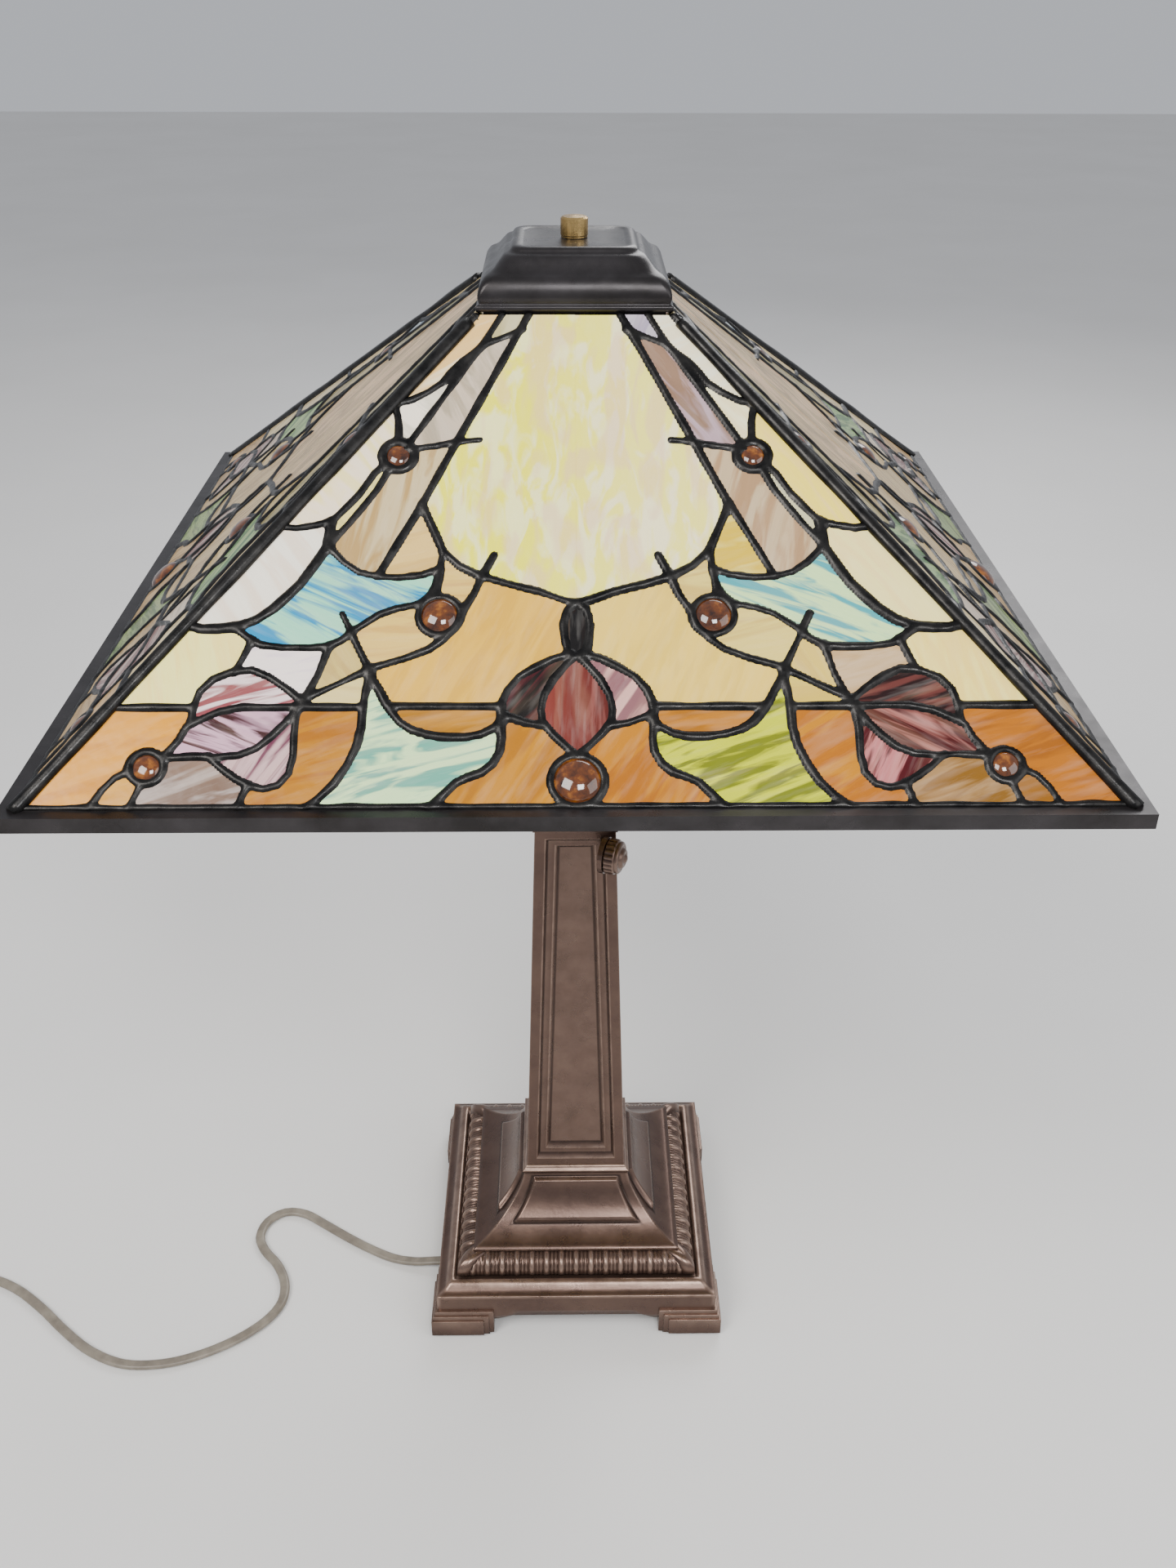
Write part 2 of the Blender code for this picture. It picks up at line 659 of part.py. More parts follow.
def make_finial():
    """The brass finial and the washer under it."""
    hole = RISER_RADIUS + GAP
    washer_low = PLATE_Z + GAP
    washer_top = washer_low + WASHER_THICK
    washer = [
        (WASHER_RADIUS, washer_top),
        (WASHER_RADIUS, washer_low),
        (hole, washer_low),
        (hole, washer_top),
    ]
    turned_ring("finial_washer", washer, "brass")
    low = washer_top + GAP
    shoulder = FINIAL_RADIUS - 0.8 * FINIAL_CHAMFER
    profile = [
        (0.0, FINIAL_TOP),
        (shoulder, FINIAL_TOP - 0.3 * FINIAL_CHAMFER),
        (FINIAL_RADIUS, FINIAL_TOP - FINIAL_CHAMFER),
        (FINIAL_RADIUS, low),
        (hole, low),
        (hole, low + FINIAL_BORE_DEPTH),
        (0.0, low + FINIAL_BORE_DEPTH),
    ]
    turned_solid("finial", profile, "brass")


# ---------------------------------------------------------------- cord

LEAD_ROUTE = (
    (-0.0747, -0.0310, 0.0060),
    (-0.0840, -0.0308, 0.0054),
    (-0.0950, -0.0294, 0.0034),
    (-0.1080, -0.0258, CORD_REST),
    (-0.1220, -0.0190, CORD_REST),
    (-0.1370, -0.0098, CORD_REST),
    (-0.1520, 0.0005, CORD_REST),
    (-0.1660, 0.0095, CORD_REST),
    (-0.1785, 0.0110, CORD_REST),
    (-0.1880, 0.0035, CORD_REST),
    (-0.1905, -0.0085, CORD_REST),
    (-0.1855, -0.0195, CORD_REST),
    (-0.1765, -0.0300, CORD_REST),
    (-0.1700, -0.0435, CORD_REST),
    (-0.1695, -0.0575, CORD_REST),
    (-0.1765, -0.0705, CORD_REST),
    (-0.1900, -0.0825, CORD_REST),
    (-0.2080, -0.0925, CORD_REST),
    (-0.2280, -0.0985, CORD_REST),
    (-0.2495, -0.0985, CORD_REST),
    (-0.2700, -0.0900, CORD_REST),
    (-0.2885, -0.0760, CORD_REST),
    (-0.3065, -0.0600, CORD_REST),
    (-0.3255, -0.0460, CORD_REST),
    (-0.3450, -0.0375, CORD_REST),
    (-0.3650, -0.0340, CORD_REST),
    (-0.3845, -0.0332, CORD_REST),
)
TAIL_ROUTE = (
    (-0.4448, 0.0080, 0.0095),
    (-0.4440, 0.0205, 0.0090),
    (-0.4405, 0.0330, 0.0078),
    (-0.4370, 0.0450, 0.0068),
    (-0.4360, 0.0560, 0.0065),
)


def smooth_route(points, spacing):
    """A chain of points along the smooth curve through a route's own points."""
    points = [Vector(point) for point in points]
    ends = [2.0 * points[0] - points[1]] + points + [2.0 * points[-1] - points[-2]]
    chain = [points[0]]
    for index in range(1, len(ends) - 2):
        before, here, there, after = ends[index - 1 : index + 3]
        steps = max(1, round((there - here).length / spacing))
        for step in range(1, steps + 1):
            t = step / steps
            spot = 2.0 * here + (there - before) * t
            spot += (2.0 * before - 5.0 * here + 4.0 * there - after) * t * t
            spot += (3.0 * here - before - 3.0 * there + after) * t * t * t
            chain.append(spot / 2.0)
    return chain


def make_cord():
    """The grip under the plinth, the loose lead, the coil of spare cord, its tail and the plug."""
    tube("cord_lead", smooth_route(LEAD_ROUTE, 9.0 * MM), CORD_TUBE_RADIUS, "cord_vinyl")
    tube("cord_tail", smooth_route(TAIL_ROUTE, 9.0 * MM), CORD_TUBE_RADIUS, "cord_vinyl")
    start = Vector(LEAD_ROUTE[0])
    grip_low = (start.x + GAP, start.y - 6.0 * MM, start.z - 3.2 * MM)
    grip_high = (start.x + GAP + 13.0 * MM, start.y + 6.0 * MM, PLINTH_BOTTOM - 2.0 * GAP)
    box("cord_grip", grip_low, grip_high, "phenolic")
    coil = [(COIL_OUTER, COIL_TALL), (COIL_OUTER, 0.0), (COIL_INNER, 0.0), (COIL_INNER, COIL_TALL)]
    ring = turned_ring("cord_coil", coil, "cord_vinyl", steps=28)
    ring.location = (COIL_CENTRE.x, COIL_CENTRE.y, 0.0)
    end = Vector(TAIL_ROUTE[-1])
    plug_start = end.y + GAP
    plug_end = plug_start + 30.0 * MM
    half_wide = 12.0 * MM
    plug_low = (end.x - half_wide, plug_start, 0.0)
    plug_high = (end.x + half_wide, plug_end, 13.0 * MM)
    plug = box("plug_body", plug_low, plug_high, "phenolic")
    bevel = plug.modifiers.new("edges", "BEVEL")
    bevel.width = 2.0 * MM
    bevel.segments = 2
    spread = 6.35 * MM
    half_thick = 0.75 * MM
    half_blade = 3.2 * MM
    for side, sign in (("left", -1), ("right", 1)):
        x = end.x + sign * spread
        low = (x - half_thick, plug_end + GAP, end.z - half_blade)
        high = (x + half_thick, plug_end + GAP + 16.5 * MM, end.z + half_blade)
        box(f"plug_blade_{side}", low, high, "brass")


def main():
    """Builds the whole lamp."""
    start_scene()
    make_materials()
    make_feet()
    make_plinth()
    make_gadroon_band()
    make_skirt()
    make_column()
    make_base_insides()
    make_cluster()
    make_socket("left", -1)
    make_socket("right", 1)
    make_switch()
    make_glass_panels()
    make_hip_cames()
    make_rim_and_ring()
    make_vent_cap()
    make_finial()
    make_cord()


main()
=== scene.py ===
import json
import math
import random

import bmesh
import bpy
import numpy as np
from mathutils import Matrix, Vector
from mathutils.geometry import delaunay_2d_cdt


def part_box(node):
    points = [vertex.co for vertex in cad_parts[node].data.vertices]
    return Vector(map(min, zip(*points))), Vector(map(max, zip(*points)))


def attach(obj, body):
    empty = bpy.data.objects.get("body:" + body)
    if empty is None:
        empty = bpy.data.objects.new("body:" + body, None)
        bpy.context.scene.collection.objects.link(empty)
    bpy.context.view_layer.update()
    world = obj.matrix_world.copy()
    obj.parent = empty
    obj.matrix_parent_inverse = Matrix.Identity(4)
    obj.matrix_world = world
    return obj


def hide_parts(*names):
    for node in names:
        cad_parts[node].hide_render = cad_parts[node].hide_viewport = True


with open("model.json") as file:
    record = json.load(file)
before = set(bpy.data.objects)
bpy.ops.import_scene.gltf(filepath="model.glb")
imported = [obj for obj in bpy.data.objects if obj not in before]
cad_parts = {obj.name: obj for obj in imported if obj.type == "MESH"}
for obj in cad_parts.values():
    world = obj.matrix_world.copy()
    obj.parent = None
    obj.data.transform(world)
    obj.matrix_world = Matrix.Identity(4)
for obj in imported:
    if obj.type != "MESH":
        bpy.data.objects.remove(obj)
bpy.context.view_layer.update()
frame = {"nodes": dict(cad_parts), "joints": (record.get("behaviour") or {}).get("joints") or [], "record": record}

MM = 0.001
SIDES = ("front", "right", "back", "left")
CORNERS = {"front_left": (-1, -1), "front_right": (1, -1), "back_right": (1, 1), "back_left": (-1, 1)}

# The shade's glass lies in four planes. A place on one is (across, up the slope) in millimetres.
RIM_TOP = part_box("shade_rim")[1][2]
GLASS_FOOT = 197.0
GLASS_HEAD = 39.6
GLASS_RISE = 133.5
GLASS_RUN = 157.7
GLASS_SLOPE = math.atan2(GLASS_RISE, GLASS_RUN)
GLASS_LENGTH = (GLASS_FOOT - GLASS_HEAD) / math.cos(GLASS_SLOPE)
GLASS_THICK = 2.8


def linear(colour):
    """Turns a colour as seen on a screen into the linear values that shaders use."""
    return tuple(channel**2.2 for channel in colour)


# ---------------------------------------------------------------- materials


class Look:
    """A procedural material under construction: a Principled shader and what feeds it."""

    def __init__(self, name):
        self.material = bpy.data.materials.new(name)
        self.material.use_nodes = True
        self.nodes = self.material.node_tree.nodes
        self.links = self.material.node_tree.links
        self.shader = self.nodes["Principled BSDF"]
        place = self.nodes.new("ShaderNodeTexCoord")
        self.place = place.outputs["Object"]

    def noise(self, scale, detail=4.0, roughness=0.55, vector=None, swirl=0.0):
        """A noise pattern's strength output."""
        node = self.nodes.new("ShaderNodeTexNoise")
        node.inputs["Scale"].default_value = scale
        node.inputs["Detail"].default_value = detail
        node.inputs["Roughness"].default_value = roughness
        node.inputs["Distortion"].default_value = swirl
        self.links.new(vector or self.place, node.inputs["Vector"])
        return node.outputs["Fac"]

    def attribute(self, name, kind="Color"):
        """A value stored on the mesh."""
        node = self.nodes.new("ShaderNodeAttribute")
        node.attribute_name = name
        return node.outputs[kind]

    def ramp(self, source, stops):
        """A colour ramp from (position, colour) stops."""
        node = self.nodes.new("ShaderNodeValToRGB")
        ramp = node.color_ramp
        while len(ramp.elements) < len(stops):
            ramp.elements.new(0.5)
        for element, (position, colour) in zip(ramp.elements, stops):
            element.position = position
            element.color = (*linear(colour), 1.0)
        self.links.new(source, node.inputs["Fac"])
        return node.outputs["Color"]

    def remap(self, source, low, high, new_low, new_high):
        """Maps a range of values to another, held at its ends."""
        node = self.nodes.new("ShaderNodeMapRange")
        self.links.new(source, node.inputs["Value"])
        node.inputs["From Min"].default_value = low
        node.inputs["From Max"].default_value = high
        node.inputs["To Min"].default_value = new_low
        node.inputs["To Max"].default_value = new_high
        return node.outputs["Result"]

    def mix(self, factor, first, second):
        """Mixes two colours."""
        node = self.nodes.new("ShaderNodeMix")
        node.data_type = "RGBA"
        self.links.new(factor, node.inputs["Factor"])
        for value, socket in ((first, node.inputs["A"]), (second, node.inputs["B"])):
            if isinstance(value, tuple):
                socket.default_value = (*linear(value), 1.0)
            else:
                self.links.new(value, socket)
        return node.outputs["Result"]

    def multiply(self, first, second):
        """Multiplies two values."""
        node = self.nodes.new("ShaderNodeMath")
        node.operation = "MULTIPLY"
        self.links.new(first, node.inputs[0])
        if isinstance(second, float):
            node.inputs[1].default_value = second
        else:
            self.links.new(second, node.inputs[1])
        return node.outputs["Value"]

    def bump(self, height, strength, distance):
        """Feeds a height into the shader's normal."""
        node = self.nodes.new("ShaderNodeBump")
        node.inputs["Strength"].default_value = strength
        node.inputs["Distance"].default_value = distance
        self.links.new(height, node.inputs["Height"])
        self.links.new(node.outputs["Normal"], self.shader.inputs["Normal"])

    def feed(self, **sources):
        """Connects outputs to the shader's inputs, or sets plain values."""
        for key, value in sources.items():
            socket = self.shader.inputs[key.replace("_", " ")]
            if isinstance(value, (int, float)):
                socket.default_value = value
            else:
                self.links.new(value, socket)
        return self.material


def mottled(name, dark, light, metallic, rough, scale=60.0, bump=0.15):
    """A metal or plain surface with soft blotches, uneven gloss and a fine grain."""
    look = Look(name)
    blotch = look.noise(scale, 6.0, 0.6)
    colour = look.ramp(blotch, ((0.32, dark), (0.68, light)))
    look.bump(look.noise(900.0, 3.0), bump, 0.0004)
    gloss = look.remap(look.noise(scale * 2.3, 4.0), 0.3, 0.7, rough[0], rough[1])
    return look.feed(Base_Color=colour, Metallic=metallic, Roughness=gloss)


def casting_material():
    """Bronze on a casting: brown, lighter where a point's mark is above 0 (rubbed wear and painted highlights),
    near black below 0 (painted shade in grooves).
    """
    look = Look("bronze_with_painted_light")
    marks = look.attribute("wear_and_painted_light", "Fac")
    blotch = look.noise(45.0, 6.0, 0.62)
    brown = look.ramp(blotch, ((0.30, (0.32, 0.255, 0.23)), (0.70, (0.39, 0.315, 0.28))))
    patchy = look.remap(look.noise(120.0, 5.0), 0.3, 0.65, 0.35, 1.0)
    # Marks above 0 lighten the brown: rubbed wear and painted highlights.
    wear_and_painted_light = look.multiply(look.remap(marks, 0.0, 1.0, 0.0, 0.6), patchy)
    colour = look.mix(wear_and_painted_light, brown, (0.68, 0.58, 0.52))
    # Marks below 0 darken it to near black: painted shade in grooves and recesses.
    grooved = look.remap(marks, -1.0, 0.0, 0.85, 0.0)
    colour = look.mix(grooved, colour, (0.07, 0.05, 0.045))
    look.bump(look.noise(500.0, 3.0), 0.12, 0.0004)
    gloss = look.remap(look.noise(90.0, 4.0), 0.3, 0.7, 0.24, 0.35)
    return look.feed(Base_Color=colour, Metallic=0.74, Roughness=gloss)


def glass_material():
    """Streaky opalescent glass. Each point carries two colours, a place along the streaks and a blush."""
    look = Look("opalescent_glass")
    flow = look.attribute("flow", "Vector")
    warp = look.noise(26.0, 3.0, 0.5, flow)
    streak = look.noise(9.0, 3.5, 0.52, flow, 1.3)
    band = look.remap(streak, 0.455, 0.57, 0.0, 1.0)
    amount = look.multiply(band, look.attribute("amount", "Fac"))
    colour = look.mix(amount, look.attribute("tint"), look.attribute("streak"))
    milk = look.multiply(look.remap(warp, 0.48, 0.75, 0.0, 1.0), 0.06)
    colour = look.mix(milk, colour, (0.97, 0.95, 0.92))
    cloud = look.remap(look.noise(5.0, 2.5, 0.5, flow, 1.6), 0.49, 0.60, 0.0, 1.0)
    colour = look.mix(look.multiply(cloud, look.attribute("blush", "Fac")), colour, (0.93, 0.77, 0.62))
    look.bump(look.noise(55.0, 3.0), 0.35, 0.0016)
    look.shader.inputs["Specular IOR Level"].default_value = 0.32
    return look.feed(Base_Color=colour, Roughness=look.remap(warp, 0.3, 0.7, 0.20, 0.34))


def jewel_material():
    """Amber cabochon glass, swirled from near black to honey."""
    look = Look("amber_jewel")
    swirl = look.noise(210.0, 4.0, 0.6)
    stops = ((0.30, (0.13, 0.055, 0.015)), (0.55, (0.36, 0.19, 0.05)), (0.75, (0.62, 0.38, 0.12)))
    colour = look.ramp(swirl, stops)
    look.bump(look.noise(160.0, 2.0), 0.10, 0.0006)
    gloss = look.remap(swirl, 0.3, 0.7, 0.06, 0.14)
    return look.feed(Base_Color=colour, Roughness=gloss, Coat_Weight=0.8)


def bulb_material():
    """Frosted white glass of a switched-off bulb."""
    look = Look("frosted_glass")
    haze = look.noise(70.0, 4.0)
    colour = look.ramp(haze, ((0.3, (0.90, 0.90, 0.88)), (0.7, (0.97, 0.97, 0.96))))
    gloss = look.remap(haze, 0.3, 0.7, 0.30, 0.40)
    return look.feed(Base_Color=colour, Roughness=gloss, Subsurface_Weight=0.2)


def floor_material():
    """A plain pale studio floor with the faintest unevenness."""
    look = Look("studio_floor")
    colour = look.ramp(look.noise(3.0, 3.0), ((0.3, (0.865, 0.860, 0.850)), (0.7, (0.885, 0.880, 0.872))))
    return look.feed(Base_Color=colour, Roughness=0.75)


MATERIALS = {
    "bronze_casting": casting_material(),
    "dark_patina": mottled(
        "dark_patina", (0.15, 0.14, 0.14), (0.23, 0.22, 0.225), 0.64, (0.25, 0.36), 40.0, 0.04
    ),
    "art_glass": glass_material(),
    "solder_patina": mottled(
        "solder_patina", (0.07, 0.07, 0.075), (0.20, 0.195, 0.19), 0.70, (0.22, 0.40), 130.0
    ),
    "brass": mottled("aged_brass", (0.58, 0.46, 0.27), (0.78, 0.66, 0.44), 0.95, (0.22, 0.36), 90.0),
    "steel": mottled("plain_steel", (0.46, 0.46, 0.46), (0.62, 0.62, 0.61), 0.95, (0.28, 0.42)),
    "cast_iron": mottled(
        "cast_iron", (0.12, 0.12, 0.12), (0.22, 0.21, 0.20), 0.50, (0.60, 0.80), 80.0, 0.6
    ),
    "felt": mottled("dark_felt", (0.08, 0.11, 0.09), (0.15, 0.18, 0.15), 0.0, (0.88, 0.98), 300.0, 0.8),
    "phenolic": mottled(
        "brown_plastic", (0.11, 0.08, 0.07), (0.17, 0.13, 0.11), 0.0, (0.35, 0.48), 60.0, 0.1
    ),
    "porcelain": mottled(
        "porcelain", (0.88, 0.87, 0.83), (0.94, 0.93, 0.90), 0.0, (0.12, 0.20), 30.0, 0.05
    ),
    "frosted_bulb": bulb_material(),
    "cord_vinyl": mottled(
        "cord_vinyl", (0.42, 0.39, 0.35), (0.53, 0.50, 0.45), 0.0, (0.28, 0.42), 110.0, 0.1
    ),
    "jewel": jewel_material(),
}


def finish_nodes():
    """Gives every CAD node that stays in view the finish of its slot."""
    for part in frame["record"]["subparts"]:
        mesh = frame["nodes"][part["node"]].data
        mesh.materials.clear()
        mesh.materials.append(MATERIALS[part["material_slot"]])


# ---------------------------------------------------------------- building blocks


def add_mesh(name, verts, faces, slot, body, material=None, smooth=True):
    """Makes a mesh object that rides on a body and takes a slot's finish."""
    mesh = bpy.data.meshes.new(name)
    mesh.from_pydata([tuple(vert) for vert in verts], [], [tuple(face) for face in faces])
    mesh.validate()
    for polygon in mesh.polygons:
        polygon.use_smooth = smooth
    mesh.materials.append(MATERIALS[material or slot])
    obj = bpy.data.objects.new(name, mesh)
    bpy.context.scene.collection.objects.link(obj)
    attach(obj, body)
    return obj


def store(obj, name, form, values):
    """Stores a value, colour or vector at each point of a mesh."""
    key = {"FLOAT": "value", "FLOAT_COLOR": "color", "FLOAT_VECTOR": "vector"}[form]
    obj.data.attributes.new(name, form, "POINT").data.foreach_set(key, values)


def weld(obj, marks=None):
    """Joins a mesh's points that share a place, and stores each point's mark: rubbed wear and painted highlight
    above 0, painted shade below 0.
    """
    bm = bmesh.new()
    bm.from_mesh(obj.data)
    if marks:
        layer = bm.verts.layers.float.new("wear_and_painted_light")
        for vert, mark in zip(bm.verts, marks):
            vert[layer] = mark
    bmesh.ops.remove_doubles(bm, verts=bm.verts, dist=0.002 * MM)
    bm.to_mesh(obj.data)
    bm.free()


def soften(obj, width, segments, angle):
    """Rounds an object's sharp edges."""
    bevel = obj.modifiers.new("soften", "BEVEL")
    bevel.width = width
    bevel.segments = segments
    bevel.limit_method = "ANGLE"
    bevel.angle_limit = math.radians(angle)
    bevel.harden_normals = True


def ring_faces(rings, steps, first=0, closed=False, flip=False):
    """Faces between rings of points that follow one another. A closed run ends on its first ring."""
    faces = []
    for ring in range(rings if closed else rings - 1):
        low = first + ring * steps
        high = first + (ring + 1) % rings * steps
        for step in range(steps):
            after = (step + 1) % steps
            if flip:
                faces.append((low + after, low + step, high + step, high + after))
            else:
                faces.append((low + step, low + after, high + after, high + step))
    return faces


def side_turn(side):
    """The quarter turns that take the front face to another side."""
    return Matrix.Rotation(math.radians(90.0 * side), 3, "Z")


def blend(first, second, share):
    """A value part of the way from one to another."""
    return first * (1.0 - share) + second * share


def smoothstep(value):
    """An eased step from 0 to 1."""
    value = min(1.0, max(0.0, value))
    return value * value * (3.0 - 2.0 * value)


# ---------------------------------------------------------------- camera, lights and floor


def make_camera():
    """The camera stands in front of the lamp, above the shade, and looks down at it."""
    look_down = 30.488
    look_left = -0.868
    tilt = 0.225
    data = bpy.data.cameras.new("camera")
    data.lens = 33.716
    camera = bpy.data.objects.new("camera", data)
    bpy.context.scene.collection.objects.link(camera)
    pitch = Matrix.Rotation(math.radians(90.0 - look_down), 4, "X")
    yaw = Matrix.Rotation(math.radians(look_left), 4, "Z")
    roll = Matrix.Rotation(math.radians(tilt), 4, "Z")
    camera.matrix_world = Matrix.Translation((-0.0031, -0.6367, 0.6886)) @ yaw @ pitch @ roll
    bpy.context.scene.camera = camera


def add_light(name, place, target, size, power, colour=(1.0, 1.0, 1.0)):
    """A square area light aimed at a point."""
    data = bpy.data.lights.new(name, "AREA")
    data.size = size
    data.energy = power
    data.color = colour
    light = bpy.data.objects.new(name, data)
    light.location = place
    light.rotation_euler = (Vector(target) - Vector(place)).to_track_quat("-Z", "Y").to_euler()
    bpy.context.scene.collection.objects.link(light)


def make_studio():
    """Soft light from above and all round, and a pale floor."""
    world = bpy.data.worlds.new("world")
    world.use_nodes = True
    sky = world.node_tree.nodes["Background"]
    sky.inputs["Color"].default_value = (0.90, 0.93, 1.0, 1.0)
    sky.inputs["Strength"].default_value = 0.58
    bpy.context.scene.world = world
    aim = (0.0, 0.0, 0.35)
    add_light("key", (-0.9, -1.1, 1.7), aim, 0.9, 30.0, (1.0, 0.97, 0.93))
    add_light("front", (0.25, -1.35, 1.55), (0.0, 0.0, 0.15), 0.45, 15.0)
    add_light("fill", (1.3, -0.9, 1.1), aim, 1.2, 11.0)
    add_light("back", (0.5, 1.4, 1.5), aim, 1.0, 17.0)
    mesh = bpy.data.meshes.new("floor")
    reach = 6.0
    corners = [(sx * reach, sy * reach, 0.0) for sx, sy in CORNERS.values()]
    mesh.from_pydata(corners, [], [(0, 1, 2, 3)])
    mesh.materials.append(floor_material())
    floor = bpy.data.objects.new("floor", mesh)
    bpy.context.scene.collection.objects.link(floor)


# ---------------------------------------------------------------- cord

CORD_REST = 0.0021
FLOOR_ROUTE = (
    (-0.1080, -0.0258), (-0.1220, -0.0190), (-0.1370, -0.0098), (-0.1520, 0.0005),
    (-0.1660, 0.0095), (-0.1785, 0.0110), (-0.1880, 0.0035), (-0.1905, -0.0085),
    (-0.1855, -0.0195), (-0.1765, -0.0300), (-0.1700, -0.0435), (-0.1695, -0.0575),
    (-0.1765, -0.0705), (-0.1900, -0.0825), (-0.2080, -0.0925), (-0.2280, -0.0985),
    (-0.2495, -0.0985), (-0.2700, -0.0900), (-0.2885, -0.0760), (-0.3065, -0.0600),
    (-0.3255, -0.0460), (-0.3450, -0.0375), (-0.3650, -0.0340), (-0.3845, -0.0332),
)
LEAD_ROUTE = (
    (-0.0747, -0.0310, 0.0060),
    (-0.0840, -0.0308, 0.0054),
    (-0.0950, -0.0294, 0.0034),
    *((x, y, CORD_REST) for x, y in FLOOR_ROUTE),
)
TAIL_ROUTE = (
    (-0.4448, 0.0080, 0.0095),
    (-0.4440, 0.0205, 0.0090),
    (-0.4405, 0.0330, 0.0078),
    (-0.4370, 0.0450, 0.0068),
    (-0.4360, 0.0560, 0.0065),
)
COIL_CENTRE = Vector((-0.404, 0.004))

# The radius and height of each turn of the coil, from the floor up, and of the place where the cord leaves.
COIL_TURNS = (
    (0.0356, 0.0021),
    (0.0298, 0.0024),
    (0.0296, 0.0055),
    (0.0354, 0.0056),
    (0.0352, 0.0087),
    (0.0294, 0.0088),
    (0.0352, 0.0112),
)
CORD_WIDE = 0.0056
CORD_THICK = 0.0029
CORD_SPACING = 0.004


def coil_route():
    """Points round the coil of spare cord, clockwise seen from above, one layer on another."""
    points = []
    start = math.radians(-97.0)
    steps = 20
    last_part_turn = 83.0 / 360.0
    step_over = 0.55
    turns = len(COIL_TURNS) - 1
    for step in range(int(steps * (turns + last_part_turn)) + 1):
        index = min(step // steps, turns - 1)
        share = min(step / steps, turns - 0.0001) - index
        ease = smoothstep((share - step_over) / (1.0 - step_over))
        here, there = COIL_TURNS[index], COIL_TURNS[index + 1]
        radius = blend(here[0], there[0], ease)
        angle = start - 2.0 * math.pi * step / steps
        spot = COIL_CENTRE + radius * Vector((math.cos(angle), math.sin(angle)))
        points.append((spot.x, spot.y, blend(here[1], there[1], ease)))
    return points


def smooth_route(points, spacing):
    """A chain of points along the smooth curve through a route's own points."""
    points = [Vector(point) for point in points]
    ends = [2.0 * points[0] - points[1]] + points + [2.0 * points[-1] - points[-2]]
    chain = [points[0]]
    for index in range(1, len(ends) - 2):
        before, here, there, after = ends[index - 1 : index + 3]
        steps = max(1, round((there - here).length / spacing))
        for step in range(1, steps + 1):
            t = step / steps
            spot = 2.0 * here + (there - before) * t
            spot += (2.0 * before - 5.0 * here + 4.0 * there - after) * t * t
            spot += (3.0 * here - before - 3.0 * there + after) * t * t * t
            chain.append(spot / 2.0)
    return chain


def cord_section():
    """The outline across the cord: two round lobes side by side."""
    lobe = CORD_THICK / 2.0
    offset = CORD_WIDE / 2.0 - lobe
    steps = 6
    section = []
    for sign, start in ((1, -110.0), (-1, 70.0)):
        for step in range(steps + 1):
            angle = math.radians(start + 220.0 * step / steps)
            section.append((sign * offset + lobe * math.cos(angle), lobe * math.sin(angle)))
    return section


def make_cord():
    """One flat twin cord from the base to the plug."""
    path = smooth_route(LEAD_ROUTE + tuple(coil_route()) + TAIL_ROUTE, CORD_SPACING)
    section = cord_section()
    verts = []
    for index, spot in enumerate(path):
        ahead = path[min(index + 1, len(path) - 1)]
        behind = path[max(index - 1, 0)]
        forward = (ahead - behind).normalized()
        across = forward.cross(Vector((0.0, 0.0, 1.0))).normalized()
        lift = across.cross(forward)
        verts.extend(spot + across * wide + lift * tall for wide, tall in section)
    count = len(section)
    faces = [tuple(range(count))[::-1], tuple(range(len(verts) - count, len(verts)))]
    faces += ring_faces(len(path), count)
    cord = add_mesh("cord", verts, faces, "cord_vinyl", "base")
    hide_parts("cord_lead", "cord_coil", "cord_tail")


# ---------------------------------------------------------------- shade: the pattern of lead lines

